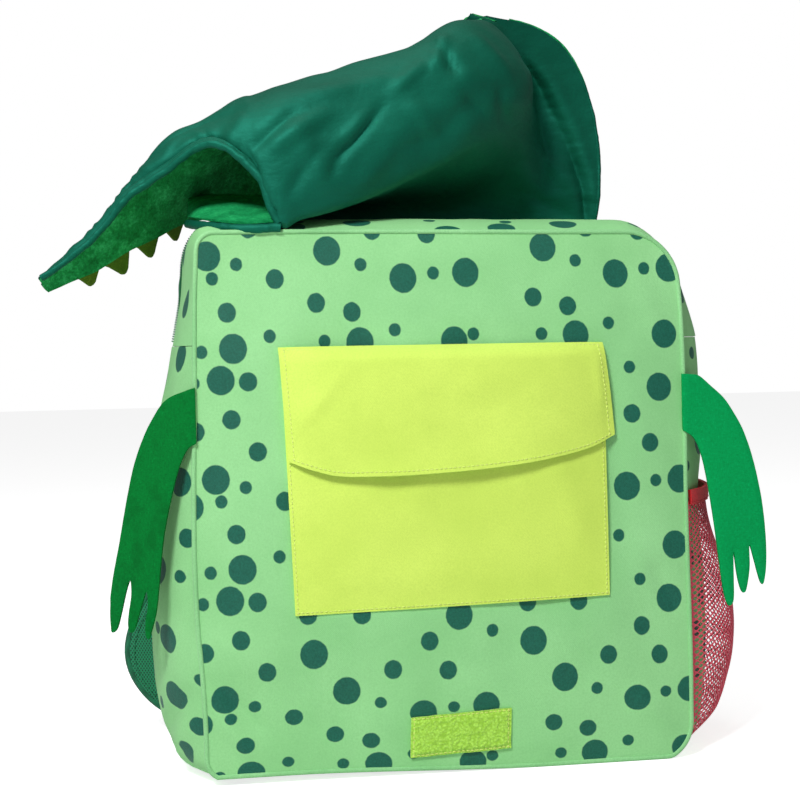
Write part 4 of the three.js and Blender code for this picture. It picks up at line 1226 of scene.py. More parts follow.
# Each arm takes its own copy of the felt: the left one darker as painted shade, the right one lighter as
# painted light.
arm("left_felt_arm", "left_arm", LEFT_ARM, FELT_LEFT_PAINTED_SHADE, left_arm_place)
arm("right_felt_arm", "right_arm", RIGHT_ARM, FELT_RIGHT_PAINTED_LIT, right_arm_place)

# Side net pocket

NET_TOP = 154
NET_CELLS_DEEP = 60
NET_CELLS_HIGH = 84
NET_YARN = 0.6


def side_wall(depth_share, z, side):
    """A point on the side wall and how steeply the corner turns there."""
    z = np.asarray(z, float)
    radius = lerp(CORNERS["bottom_right"], BACK_CORNER, depth_share)
    low = np.maximum(z, BASE)
    x_front = np.vectorize(lambda h: float(front_side(h, side)))(low)
    x_back = np.vectorize(lambda h: float(back_side(h, side)))(low)
    x = lerp(x_front, x_back, depth_share)
    y_front = front_seam_y(z) + CLOTH / 2 + 0.3
    y_back = back_seam_y(z) - BACK_CLOTH / 2 - 0.3
    y = lerp(y_front, y_back, depth_share)
    profile = 1 - np.abs(2 * depth_share - 1) ** 2.5
    out_x = np.clip(1 - np.clip(1 - z / radius, 0, 1) ** 2, 0.05, 1) ** 0.5
    amount = table(z, RIGHT_BULGE) * profile * out_x ** 1.5
    return x + side * amount * out_x, y, out_x


# How far the net stands off the wall, by height below its top
NET_STAND = [(0, 3), (20, 8), (50, 17), (85, 21), (110, 19), (130, 13), (145, 8), (154, 4)]


def net_point(depth_share, z, lift=0.0):
    depth_share = np.asarray(depth_share, float)
    held = lerp(0.015, 0.985, depth_share)
    x, y, out_x = side_wall(held, z, 1)
    across = 1 - np.abs(2 * depth_share - 1) ** 2.2
    stand = 1.4 + table(NET_TOP - np.asarray(z, float), NET_STAND) * across + lift
    stand = stand + across * 0.9 * field(xyz(0, y, z), 16, 61)
    return np.stack([x + stand * out_x, y, np.maximum(z - stand * (1 - out_x) * 0.4, 1.0)], -1)


def net():
    """Diamond cells of yarn: each cell is a ring of four bars round an open middle."""
    wide, high = NET_CELLS_DEEP, NET_CELLS_HIGH
    low_z = 3.0
    places = {}
    flat = []

    def vertex(across, up):
        key = (round(across * 1000), round(up * 1000))
        if key not in places:
            places[key] = len(flat)
            flat.append((across / wide, low_z + (NET_TOP - low_z) * up / high))
        return places[key]

    hole = 0.8
    faces = []
    directions = [(1, 0), (0, 1), (-1, 0), (0, -1)]
    for across in range(wide + 1):
        for up in range(high + 1):
            if (across + up) % 2:
                continue
            tips = [(across + dx, up + dy) for dx, dy in directions]
            outside = [x < 0 or x > wide or y < 0 or y > high for x, y in tips]
            for turn, (dx, dy) in enumerate(directions):
                after = (turn + 1) % 4
                if outside[turn] or outside[after]:
                    continue
                start, stop = vertex(*tips[turn]), vertex(*tips[after])
                if any(outside):
                    faces.append([vertex(across, up), start, stop])
                    continue
                ex, ey = directions[after]
                inner = vertex(across + dx * hole, up + dy * hole)
                bulge = hole * 0.56
                middle = vertex(across + (dx + ex) * bulge, up + (dy + ey) * bulge)
                inner_after = vertex(across + ex * hole, up + ey * hole)
                faces.append([start, stop, inner_after, middle, inner])
    flat = np.array(flat)
    outer = net_point(flat[:, 0], flat[:, 1], NET_YARN)
    under = net_point(flat[:, 0], flat[:, 1], 0.0)
    faces = turned_towards(faces, outer, np.array([1, 0, 0]))
    piece = make_object("side_net", *two_sided(outer, under, faces), sharp=80)
    finish(piece, NET_PAINTED_LIT, nodes=["mesh_pocket"])


def binding():
    """A folded elastic band over the net's top edge."""
    shares = np.linspace(0, 1, 60)
    up = np.linspace(0, 1, 12)
    share, rise = np.meshgrid(shares, up, indexing="ij")
    grid = net_point(share, NET_TOP - 1 + 9 * rise, 1.2 + 0.5 * np.sin(math.pi * rise))
    grid[..., 2] += 2.6 * (share - 0.3) + 0.4 * field(xyz(share * 90, 0, rise * 10), 9, 62)
    piece = cloth("net_binding", grid, 2.2)
    finish(piece, BINDING_PAINTED_LIT, nodes=["mesh_binding"])
    lifted = grid[:, 2] + np.array([1.2, 0, 0])
    stitched("binding_stitching", [lifted], (1, 0, 0), RED_THREAD, "red_binding", radius=0.22)


net()
binding()

# Head flap: one sheet that rises from the back seam, rolls over the bag's top and folds to the left

HEAD_SECTIONS = [
    [(0.83, 1.02, 0), (0.86, 0.98, 0.21), (0.865, 0.96, 0.4), (0.84, 0.93, 0.58), (0.78, 0.89, 0.745),
     (0.68, 0.83, 0.88), (0.52, 0.75, 0.96), (0.33, 0.62, 0.985)],
    [(0.74, 1.02, 0), (0.75, 0.97, 0.21), (0.74, 0.95, 0.4), (0.7, 0.92, 0.58), (0.64, 0.88, 0.73),
     (0.56, 0.8, 0.85), (0.43, 0.7, 0.935), (0.27, 0.58, 0.975)],
    [(0.63, 1.02, 0), (0.61, 0.99, 0.21), (0.58, 0.98, 0.4), (0.56, 0.95, 0.58), (0.525, 0.86, 0.72),
     (0.44, 0.68, 0.86), (0.34, 0.58, 0.945), (0.23, 0.55, 0.97)],
    [(0.49, 1.02, 0), (0.47, 0.98, 0.24), (0.43, 0.2, 0.475), (0.44, -0.12, 0.6), (0.435, -0.06, 0.725),
     (0.33, 0.2, 0.905), (0.26, 0.5, 0.94), (0.17, 0.84, 0.88)],
    [(0.3, 1.02, 0), (0.29, 0.93, 0.23), (0.18, -0.4, 0.385), (0.165, -0.65, 0.57), (0.165, -0.52, 0.77),
     (0.15, -0.06, 0.9), (0.12, 0.6, 0.85), (0.08, 1.04, 0.72)],
    [(0.03, 1.02, 0), (0.02, 0.88, 0.2), (-0.06, -0.6, 0.27), (-0.08, -0.81, 0.47), (-0.075, -0.65, 0.68),
     (-0.055, -0.1, 0.785), (-0.06, 0.64, 0.72), (-0.08, 1.14, 0.53)],
    [(-0.28, 1.02, 0), (-0.29, 0.8, 0.19), (-0.315, -0.8, 0.155), (-0.33, -0.96, 0.365),
     (-0.33, -0.77, 0.59), (-0.32, -0.18, 0.705), (-0.315, 0.68, 0.61), (-0.33, 1.18, 0.36)],
    [(-0.65, 1.02, 0), (-0.6, 0.62, 0.195), (-0.56, -0.98, 0.075), (-0.575, -1.05, 0.3),
     (-0.575, -0.86, 0.53), (-0.57, -0.22, 0.635), (-0.57, 0.68, 0.52), (-0.58, 1.2, 0.24)],
    [(-0.95, 1.02, 0.03), (-0.84, 0.55, 0.115), (-0.65, -1.02, 0.055), (-0.69, -1.06, 0.26),
     (-0.715, -0.85, 0.47), (-0.725, -0.26, 0.58), (-0.725, 0.68, 0.44), (-0.76, 1.18, 0.16)],
    [(-0.73, -0.98, 0.24), (-0.76, -0.93, 0.37), (-0.78, -0.68, 0.49),
     (-0.79, -0.26, 0.555), (-0.83, 0.58, 0.36), (-0.9, 1.1, 0.125)],
    [(-0.915, -0.73, 0.37), (-0.92, -0.6, 0.415), (-0.93, -0.42, 0.45),
     (-0.935, -0.22, 0.465), (-0.97, 0.36, 0.29), (-1.03, 0.85, 0.095)],
    [(-1.11, -0.48, 0.262), (-1.09, -0.42, 0.325), (-1.085, -0.32, 0.375),
     (-1.085, -0.2, 0.388), (-1.1, 0.2, 0.225), (-1.13, 0.56, 0.035)],
    [(-1.245, -0.38, 0.17), (-1.25, -0.34, 0.187), (-1.255, -0.26, 0.195),
     (-1.26, -0.18, 0.185), (-1.27, 0.02, 0.08), (-1.28, 0.24, -0.04)],
    [(-1.41, -0.32, -0.002), (-1.42, -0.28, 0.015), (-1.425, -0.22, 0.02),
     (-1.425, -0.16, 0.012), (-1.415, -0.04, -0.045), (-1.4, 0.1, -0.115)],
    [(-1.6, -0.28, -0.158), (-1.605, -0.25, -0.158), (-1.61, -0.22, -0.163),
     (-1.61, -0.18, -0.168), (-1.605, -0.14, -0.183), (-1.59, -0.1, -0.2)],
]
FOLD_COLUMN = 2
MOUTH_SECTION = 8
HEAD_ROWS = 12
HEAD_COLUMNS = 14
HEAD_SEAM_LIFT = 1.2
TOP_MIDDLE_Y = float((front_seam_y(BAG_HEIGHT) + back_seam_y(BAG_HEIGHT)) / 2)


def curve_through(points, shares, corner=None, sharpness=0.8):
    """A smooth curve through evenly spaced points, at shares from 0 to 1. It turns sharply at a corner."""
    points = np.asarray(points, float)
    padded = np.concatenate([[2 * points[0] - points[1]], points, [2 * points[-1] - points[-2]]])
    place = np.asarray(shares) * (len(points) - 1)
    index = np.clip(place.astype(int), 0, len(points) - 2)
    t = (place - index).reshape(-1, *([1] * (points.ndim - 1)))
    p0, p1, p2, p3 = (padded[index + shift] for shift in range(4))
    m1, m2 = (p2 - p0) / 2, (p3 - p1) / 2
    if corner is not None:
        starts = (index == corner).reshape(t.shape)
        stops = (index == corner - 1).reshape(t.shape)
        m1 = np.where(starts, lerp(m1, p2 - p1, sharpness), m1)
        m2 = np.where(stops, lerp(m2, p2 - p1, sharpness), m2)
    return hermite(t, p1, p2, m1, m2)


def head_grid():
    """The sheet's points by section and column, with section and column numbers."""
    def place(points):
        points = np.array(points, float)
        return np.stack([points[:, 0] * BAG_WIDTH / 2, TOP_MIDDLE_Y + points[:, 1] * TOP_DEPTH / 2,
                         BAG_HEIGHT + HEAD_SEAM_LIFT + points[:, 2] * HEAD_RISE], -1)

    column_count = len(HEAD_SECTIONS[0]) - 1
    columns = column_count * HEAD_COLUMNS
    rows = (len(HEAD_SECTIONS) - 1) * HEAD_ROWS
    grid = np.full((rows + 1, columns + 1, 3), np.nan)
    for column in range(columns + 1):
        at = column / HEAD_COLUMNS
        through = []
        for section in HEAD_SECTIONS:
            skipped = column_count + 1 - len(section)
            if at >= skipped:
                corner = FOLD_COLUMN if 3 <= len(through) <= MOUTH_SECTION else None
                share = (at - skipped) / (len(section) - 1)
                through.append(curve_through(place(section), [share], corner)[0])
        last = (len(through) - 1) * HEAD_ROWS
        grid[:last + 1, column] = curve_through(through, np.linspace(0, 1, last + 1))
    section_at = np.arange(rows + 1)[:, None] / HEAD_ROWS + 0 * grid[..., 0]
    column_at = np.arange(columns + 1)[None, :] / HEAD_COLUMNS + 0 * grid[..., 0]
    row, column = np.meshgrid(np.arange(rows), np.arange(columns), indexing="ij")
    keep = (row < MOUTH_SECTION * HEAD_ROWS) | (column >= FOLD_COLUMN * HEAD_COLUMNS)
    return grid, keep, np.nan_to_num(section_at), np.nan_to_num(column_at)


def fill_missing(grid):
    """Grid points with no cloth take the nearest point of their row, so that normals stay finite."""
    filled = grid.copy()
    for row in range(grid.shape[0]):
        good = ~np.isnan(grid[row, :, 0])
        if not good.all():
            filled[row, ~good] = grid[row, np.argmax(good)]
    return filled


# Folds of the lining on the rolled side and on the wall under it: start and end in x and z, width, depth
ROLL_FOLDS = [
    ((-31, 396), (-58, 366), 3.2, -2.6), ((-40, 391), (-62, 368), 3.0, 2.0),
    ((-64, 393), (-100, 369), 4.5, 2.2),
    ((-82, 394), (-112, 366), 4.0, -2.0), ((-3, 423), (-24, 406), 3.6, 2.2), ((6, 434), (16, 416), 3.0, -2.8),
    ((12, 442), (2, 419), 3.2, 2.4), ((39, 408), (-12, 372), 8.0, -2.2), ((26, 443), (52, 418), 4.0, 1.8),
    ((-22, 415), (-82, 399), 4.5, 1.6), ((-55, 375), (-66, 352), 3.6, -2.0),
    ((-88, 387), (-64, 344), 7.0, 2.0),
    ((-111, 390), (-124, 372), 4.0, 1.6), ((-16, 399), (4, 379), 5.0, 1.8), ((20, 405), (38, 392), 4.0, -1.8),
    ((-20, 384), (-52, 345), 6.5, 1.6), ((-70, 372), (-92, 340), 4.2, -1.6),
    ((44, 412), (50, 388), 3.4, -1.6),
]
WALL_FOLDS = [
    ((78, 384), (116, 353), 5.0, 2.6), ((57, 360), (111, 336), 4.5, -2.4), ((85, 420), (92, 376), 5.0, -2.6),
    ((62, 344), (104, 328), 4.0, 1.8), ((96, 408), (108, 366), 4.0, 1.4),
]
# The ledge inside the mouth: its lip from the roll's end to the left, and the line where it goes dark
LEDGE_LIP = [(-94.5, -44, 328), (-118, -41, 327.5), (-139, -22, 331), (-147, 8, 334.5)]
LEDGE_BACK = [(-83, 40, 350), (-113, 40, 350.5), (-139, 46, 352), (-145, 48, 352)]
# The brim's crease: its section number by column
BRIM_CREASE = [(0, 0.25), (1, 0.6), (2, 1.05), (3, 1.3), (4, 1.5), (5, 1.75), (6, 2.15), (7, 2.5)]
HEM_RADIUS = 2.8
LINING_SHEET = 0.8
PLUSH_PILE = 2.2
# Where the brim's hem and its light edge stop, in columns from the tip. The light edge is a rim drawn in the
# lighter copy of the plush: painted light.
BRIM_END = -8
TOOTH_ROOT = 3
TOOTH_THICKNESS = 2
# The teeth: section number, width, drop, and how far the tip leans, in shares of half the width
TEETH = [(13.15, 15, 9, 0.08), (12.22, 21, 16, -0.24), (11.32, 20, 14, -0.4), (10.27, 19, 14, -0.6)]


def puckered(points, seed, fine, broad):
    """Small lumps, as in a gathered hem."""
    small = np.stack([field(points, 2.6, seed + axis) for axis in range(3)], -1)
    large = np.stack([field(points, 6.5, seed + 5 + axis) for axis in range(3)], -1)
    return points + fine * small + broad * large


def head():
    grid, keep, section, column = head_grid()
    grid = fill_missing(grid)
    towards_lining = -grid_normals(grid)
    x, z = grid[..., 0], grid[..., 2]
    roll = smooth(section, 2.6, 3.1) * smooth(column, 1.9, 2.5) * (1 - smooth(column, 4.4, 5.2))
    wall = 1 - smooth(section, 2.1, 2.7)
    shift = 1.2 + 1.3 * field(grid, 30, 71) + 0.6 * field(grid * [1, 1, 1.8], 13, 72)
    for fold in ROLL_FOLDS:
        shift = shift + 1.35 * roll * crease(x, z, *fold)
    for fold in WALL_FOLDS:
        shift = shift + wall * smooth(column, 0, 0.6) * crease(x, z, *fold)
    brim = section - table(column, BRIM_CREASE)
    pucker = np.sin(column * 21 + 3 * field(grid, 9, 73))
    low_brim = 1 - smooth(column, 3.6, 5.4)
    ridge = 2.0 * np.exp(-(((brim + 0.45) / 0.3) ** 2))
    shift = shift + low_brim * (ridge - 4.5 * np.exp(-((brim / 0.26) ** 2)))
    shift = shift + 0.35 * low_brim * pucker * np.exp(-((brim / 0.4) ** 2))
    steps = np.linalg.norm(np.diff(grid, axis=1), axis=-1)
    run = np.concatenate([np.zeros((len(grid), 1)), np.cumsum(steps, axis=1)], 1)
    edge_column = FOLD_COLUMN * HEAD_COLUMNS
    mouth_row = MOUTH_SECTION * HEAD_ROWS
    from_hem = run - run[:, edge_column:edge_column + 1]
    at_mouth = smooth(section, MOUTH_SECTION - 0.4, MOUTH_SECTION + 0.3) * (from_hem >= 0)
    shift = shift - 1.5 * at_mouth * np.exp(-(((from_hem - 6.5) / 1.7) ** 2))
    gathers = np.sin(section * 11 + 9 * field(grid, 14, 74))
    shift = shift + 0.6 * at_mouth * gathers * np.exp(-(((from_hem - 9) / 7) ** 2))
    far = np.hypot((section - 10.9) / 1.1, (column - 5.5 - 0.35 * (section - 10.9)) / 0.22)
    shift = shift + 2.4 * np.exp(-(far**2))
    grid = grid + towards_lining * (shift * smooth(column, -0.2, 1.0))[..., None]
    lining = cloth("head_inside", grid, LINING_SHEET, offset=-1.0, keep=keep, sharp=80)
    finish(lining, LINING, nodes=["head_lining"])
    outer = cloth("head_plush", grid, PLUSH_PILE, offset=0.9, keep=keep, sharp=80)
    finish(outer, PLUSH, nodes=["head_outer"])

    jaw = grid[mouth_row:, edge_column]
    points, faces = tube_parts(jaw, lambda s: HEM_RADIUS * (1 - 0.3 * s), sides=14, step=1.0)
    parts = [(puckered(points, 75, 0.25, 0.35), faces)]
    lip = route(LEDGE_LIP, 60)
    points, faces = tube_parts(lip + [0, -0.8, -4.0], HEM_RADIUS, sides=14, step=1.0)
    parts.append((puckered(points, 87, 0.3, 0.3), faces))
    brim_edge = grid[0, 3:BRIM_END] + towards_lining[0, 3:BRIM_END] * 0.6
    points, faces = tube_parts(brim_edge, lambda s: 1.5 - 1.3 * s**3, sides=12, step=1.2)
    parts.append((puckered(points, 99, 0.15, 0.2), faces))
    finish(merged("head_hem", parts, sharp=80), LINING)
    # The brim's rim of plush, drawn in the lighter copy: painted light.
    light = slice(3 * HEAD_COLUMNS, BRIM_END)
    rim = grid[0, light] - towards_lining[0, light] * PLUSH_PILE + [0.8, 0, 0.8]
    points, faces = tube_parts(rim, lambda s: 0.5 + 1.1 * np.sin(math.pi * s), sides=10, step=1.2)
    finish(make_object("brim_plush", puckered(points, 111, 0.15, 0.2), faces), PLUSH_PAINTED_LIT)
    for number, (at, width, drop, lean) in enumerate(TEETH):
        tooth(number + 1, grid, at, width, drop, lean)
    depth = np.linspace(0, 1, 26)[None, :, None]
    back = route(LEDGE_BACK, 60)
    ledge = lip[:, None] + (back - lip)[:, None] * depth
    ledge[..., 2] += 2.0 * np.sin(math.pi * depth[..., 0]) + 0.5 * field(ledge, 9, 76)
    # The ledge is drawn in the lighter copy of the plush: painted light where the mouth's floor is lit.
    piece = cloth("head_ledge", ledge, 1.6, flip=True)
    finish(piece, PLUSH_PAINTED_LIT)


def tooth(number, grid, at, width, drop, lean):
    """A felt tooth with a round tip, whose root is held in the head's lower edge."""
    rows = np.arange(len(grid))

    def on(place, column):
        return interpolated(place * HEAD_ROWS, rows, grid[:, column])

    last = grid.shape[1] - 1
    centre = on(at, last)
    along = unit(on(at + 0.2, last) - on(at - 0.2, last))
    outward = centre - on(at, last - HEAD_COLUMNS // 2)
    across = unit(np.cross(along, outward))
    hang = np.cross(across, along)
    half = width / 2
    near, far = lean + 1, 1 - lean
    outline = np.array([
        (-1, 0), (lean - near * 0.72, 0.42), (lean - near * 0.46, 0.82),
        (lean - near * 0.22, 0.97), (lean, 1),
        (lean + far * 0.2, 0.9), (lean + far * 0.46, 0.58), (lean + far * 0.74, 0.24), (1, 0),
    ]) * [half, drop]
    outline = np.concatenate([[[-half, -TOOTH_ROOT]], outline, [[half, -TOOTH_ROOT]]])
    outline, _ = resample(np.column_stack([outline, np.zeros(len(outline))]), 0.7, closed=True)
    outline = outline[:, :2]
    flat, triangles = flat_shape(outline, 0.9)
    rim = np.min(np.linalg.norm(flat[:, None] - outline[None], axis=2), axis=1)
    thick = TOOTH_THICKNESS / 2 * np.sqrt(np.clip(0.3 + rim, 0, 1))
    fuzz = 0.1 * field(xyz(flat[:, 0], number * 9, flat[:, 1]), 1.4, 121)
    middle = centre + flat[:, :1] * along + flat[:, 1:] * hang
    front = middle + across * (thick + fuzz)[:, None]
    rear = middle - across * (thick - fuzz)[:, None]
    points, faces = two_sided(front, rear, turned_towards(triangles, front, across))
    piece = make_object(f"felt_tooth_{number}", points, faces, sharp=60)
    finish(piece, TOOTH_FELT, nodes=[f"tooth_{number}"])


head()

# Back panel, straps and loop. The straps' padded underside faces the bag.

BACK_FACE = BACK_CLOTH / 2
STRAP_WIDTH = 46
STRAP_THICKNESS = 8
STRAP_TOP = 284
STRAP_DROP = 250
STRAP_SLACK = 34
GAP = 0.3


def back_y(x, z):
    side = np.minimum(1, np.abs(2 * np.asarray(x, float) / BACK_WIDTH))
    level = np.minimum(1, np.abs(2 * np.asarray(z, float) / BAG_HEIGHT - 1))
    return back_seam_y(z) + BACK_CROWN * (1 - side**2.4) * (1 - level**2.4)


def slab_parts(top, under):
    """A closed slab between two grids of the same size, with the first one facing out."""
    rows, columns = top.shape[:2]
    count = rows * columns
    index = np.arange(count).reshape(rows, columns)
    quads = np.stack([index[:-1, :-1], index[1:, :-1], index[1:, 1:], index[:-1, 1:]], -1).reshape(-1, 4)
    rim = np.concatenate([index[0, :-1], index[:-1, -1], index[-1, 1:][::-1], index[1:, 0][::-1]])
    after = np.roll(rim, -1)
    sides = np.stack([after, after + count, rim + count, rim], -1)
    faces = np.concatenate([quads, quads[:, ::-1] + count, sides[:, ::-1]])
    return np.concatenate([top.reshape(-1, 3), under.reshape(-1, 3)]), faces.tolist()


# The pad's half width and its lower and upper edges, then the middles of its sewn channels
PAD_HALF = 116
PAD_LOW = 30
PAD_HIGH = 272
PAD_CHANNELS = (-39, 39)
PAD_CROSS = 150


def back_panel():
    heights = rounded_heights(BACK_CORNER, BACK_CORNER, 110)
    half = back_side(heights, 1)
    shares = np.linspace(-1, 1, 121)
    x = half[:, None] * shares[None, :]
    z = np.broadcast_to(heights[:, None], x.shape)
    calm = (1 - np.abs(shares[None, :]) ** 6) * (1 - np.abs(2 * z / BAG_HEIGHT - 1) ** 6)
    y = back_y(x, z) + BACK_FACE - 2.9 + 0.5 * calm * field(xyz(x, 0, z), 30, 81)
    y = y - 0.4 * (1 - calm)
    panel = cloth("back_cloth", xyz(x, y, z), CLOTH, flip=True)
    finish(panel, BACK_CLOTH_GREEN, nodes=["back_panel"])
    rise, side = np.meshgrid(np.linspace(0, 1, 150), np.linspace(-1, 1, 150), indexing="ij")
    z = lerp(PAD_LOW, PAD_HIGH, rise)
    corner = np.clip(22 - np.minimum(z - PAD_LOW, PAD_HIGH - z), 0, 22)
    x = side * (PAD_HALF - 22 + np.sqrt(22**2 - corner**2))
    base = back_y(x, z) + BACK_FACE - 2.1
    border = np.minimum.reduce([(1 - np.abs(side)) * PAD_HALF, z - PAD_LOW, PAD_HIGH - z])
    seams = np.minimum.reduce([np.abs(x - place) for place in PAD_CHANNELS])
    seams = np.minimum(seams, np.abs(z - PAD_CROSS))
    puff = 2.0 * smooth(border, 0, 9) * (1 - 0.85 * np.exp(-((seams / 4.2) ** 2)))
    puff = puff + 0.25 * smooth(border, 3, 14) * field(xyz(x, 0, z), 14, 82)
    top = xyz(x, base + 0.3 + np.maximum(puff, 0), z)
    pad = make_object("back_pad", *slab_parts(top[:, ::-1], xyz(x, base, z)[:, ::-1]), sharp=60)
    finish(pad, AIR_MESH)
    lifted = top + [0, 0.2, 0]
    runs = [lifted[3:147, column] for column in (2, 147)] + [lifted[row, 3:147] for row in (2, 147)]
    rows = np.arange(6, 144)
    for place in PAD_CHANNELS:
        depths = np.array([np.interp(place, x[row], top[row, :, 1]) for row in rows])
        runs.append(xyz(place, depths + 0.2, z[rows, 0]))
    runs.append(lifted[int(np.argmin(np.abs(z[:, 0] - PAD_CROSS))), 6:144])
    stitched("back_stitching", runs, (0, 1, 0), TEAL_THREAD, "teal_cloth")


def strap_frame(path):
    """Width direction and outward direction at each point of a strap's path."""
    tangents = unit(np.gradient(path, axis=0))
    across = unit(np.cross(np.array([0, 1.0, 0]), tangents))
    outward = np.cross(tangents, across)
    return across, outward * np.sign(outward[:, 1:2])


# A strap's route: shares of half the back's width, of the strap's slack and of its drop
STRAP_ROUTE = [
    (0.26, 0, 0), (0.27, 0.12, 0.08), (0.34, 0.7, 0.24), (0.54, 1, 0.46), (0.84, 0.85, 0.68),
    (1.08, 0.5, 0.84), (1.13, 0.3, 0.93), (1.04, 0.15, 1), (0.95, 0.1, 1), (0.86, 0.05, 1),
]


def shoulder_strap(side, mirror):
    def at(across, away, z):
        x = across * BACK_WIDTH / 2
        return (mirror * x, float(back_y(x, z)) + BACK_FACE + GAP + STRAP_THICKNESS / 2 + away, z)

    path = route([at(across, away * STRAP_SLACK, STRAP_TOP - drop * STRAP_DROP)
                  for across, away, drop in STRAP_ROUTE], 400)
    path, _ = resample(path, 2.4)
    across, outward = strap_frame(path)
    count = len(path)
    share = np.linspace(0, 1, count)
    half_width = STRAP_WIDTH / 2 - 1.2 - 8 * smooth(share, 0.93, 1.0)
    half_thick = STRAP_THICKNESS / 2 * (0.35 + 0.65 * smooth(np.minimum(share, 1 - share), 0.0, 0.05))
    sides = 36
    turn = np.arange(sides) * 2 * math.pi / sides
    wide = squared(np.cos(turn), 0.7)
    high = squared(np.sin(turn), 0.8)
    lumps = 0.35 * field(path[:, None] + across[:, None] * (wide * 23)[None, :, None], 13, 83)
    rings = (path[:, None] + across[:, None] * (half_width[:, None] * wide)[..., None]
             + outward[:, None] * ((half_thick[:, None] + lumps * (np.abs(high) > 0.5)) * high)[..., None])
    strap = make_object(f"padded_strap_{side}", rings.reshape(-1, 3), ring_faces(count, sides), sharp=75)
    finish(strap, TEAL, nodes=[f"shoulder_strap_{side}"])
    strap.data.materials.append(AIR_MESH)
    kinds = np.concatenate([np.tile(np.arange(sides) >= sides // 2, count - 1), [0, 0]])
    strap.data.polygons.foreach_set("material_index", kinds.astype(np.int32))
    parts, threads = [], []
    for sign in (-1, 1):
        edge = path + across * (sign * half_width)[:, None]
        parts.append(tube_parts(edge, 2.3, sides=10, step=2.4))
        for face in (-1, 1):
            line = (path + across * (sign * (half_width - 4.2))[:, None]
                    + outward * (face * (half_thick * 0.93 + 0.1))[:, None])
            threads += stitch_parts(line[3:-3], face * outward[3:-3].mean(0), lift=0.15, stitch=2.6, gap=1.0)
    finish(merged(f"strap_binding_{side}", parts, sharp=70), TEAL_BINDING)
    finish(merged(f"strap_stitching_{side}", threads), TEAL_THREAD)
    anchor(side, mirror)
    lower_end(side, mirror)


def anchor(side, mirror):
    """The strap's top end, held under a bar of webbing with a crossed box of stitches."""
    centre = mirror * 0.26 * BACK_WIDTH / 2
    rise, share = np.meshgrid(np.linspace(-1, 1, 16), np.linspace(-1, 1, 40), indexing="ij")
    x = centre + share * 26
    z = STRAP_TOP - 5 + rise * 8
    bulge = 2.7 * (1 - np.abs(share) ** 6) * (0.55 + 0.45 * np.cos(rise * 1.2))
    y = back_y(x, z) + BACK_FACE + 0.6 + bulge
    grid = xyz(x, y, z)
    finish(cloth(f"strap_anchor_{side}", grid, 1.3, flip=True), WEBBING_SIDE)
    lifted = grid + np.array([0, 0.75, 0])
    runs = [lifted[2, 2:38], lifted[13, 2:38], lifted[2:14, 2], lifted[2:14, 37]]
    stitched(f"anchor_stitching_{side}", runs, (0, 1, 0), TEAL_THREAD, "teal_cloth")


def rounded_frame(width, height, radius, per_corner=8):
    """A closed upright outline with rounded corners, as (x, z) pairs round the middle."""
    points = []
    for quarter, (sx, sz) in enumerate(((1, 1), (-1, 1), (-1, -1), (1, -1))):
        for step in range(per_corner):
            angle = math.pi / 2 * (quarter + step / (per_corner - 1))
            points.append((sx * (width / 2 - radius) + radius * math.cos(angle),
                           sz * (height / 2 - radius) + radius * math.sin(angle)))
    return np.array(points)


def lower_end(side, mirror):
    low, high = (np.array(corner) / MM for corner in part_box(f"strap_adjuster_{side}"))
    centre = (low + high) / 2
    width, height = high[0] - low[0], high[2] - low[2]
    outline = rounded_frame(width - 3.6, height - 3.6, 3.0)
    ring = xyz(centre[0] + outline[:, 0], centre[1], centre[2] + outline[:, 1])
    parts = [tube_parts(ring, 1.8, sides=12, step=1.2, closed=True, flat=1.15)]
    for place, shift in ((-0.16, 0.5), (0.16, -0.5)):
        bar_x, bar_y = centre[0] + place * width, centre[1] + shift
        parts.append(tube_parts([[bar_x, bar_y, low[2] + 2], [bar_x, bar_y, high[2] - 2]], 1.25, sides=10))
    buckle = merged(f"ladder_buckle_{side}", parts, sharp=70)
    finish(buckle, ZIP_PLASTIC, nodes=[f"strap_adjuster_{side}"])
    web_low, web_high = (np.array(corner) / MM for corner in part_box(f"lower_webbing_{side}"))
    outer, inner = (web_low[0], web_high[0]) if mirror < 0 else (web_high[0], web_low[0])
    middle = (web_low[2] + web_high[2]) / 2
    face = float(back_y(inner, middle)) + BACK_FACE + 0.9
    start = outer + mirror * 8
    path = route([(start, centre[1] - 0.2, middle), (outer, centre[1] - 0.6, middle),
                  (lerp(outer, inner, 0.45), face + 1.4, middle),
                  (lerp(outer, inner, 0.75), face + 0.2, middle),
                  (inner, face, middle)], 60)
    rise = np.linspace(-0.5, 0.5, 14) * 20
    grid = path[:, None] + np.array([0, 0, 1.0]) * rise[None, :, None]
    web = cloth(f"webbing_{side}", grid, 1.4)
    finish(web, WEBBING_SIDE, nodes=[f"lower_webbing_{side}"])
    lifted = grid[40:58] + np.array([0, 0.85, 0])
    diagonal = np.linspace(lifted[0, 1], lifted[17, 12], 20)
    runs = [lifted[:, 1], lifted[:, 12], lifted[0, 1:13], lifted[17, 1:13], diagonal]
    stitched(f"webbing_stitching_{side}", runs, (0, 1, 0), TEAL_THREAD, "teal_cloth")


LOOP_WIDTH = 20
LOOP_HEIGHT = 34
LOOP_DEPTH = 12
LOOP_BASE = BAG_HEIGHT - 22
LOOP_CLOTH = 1.6


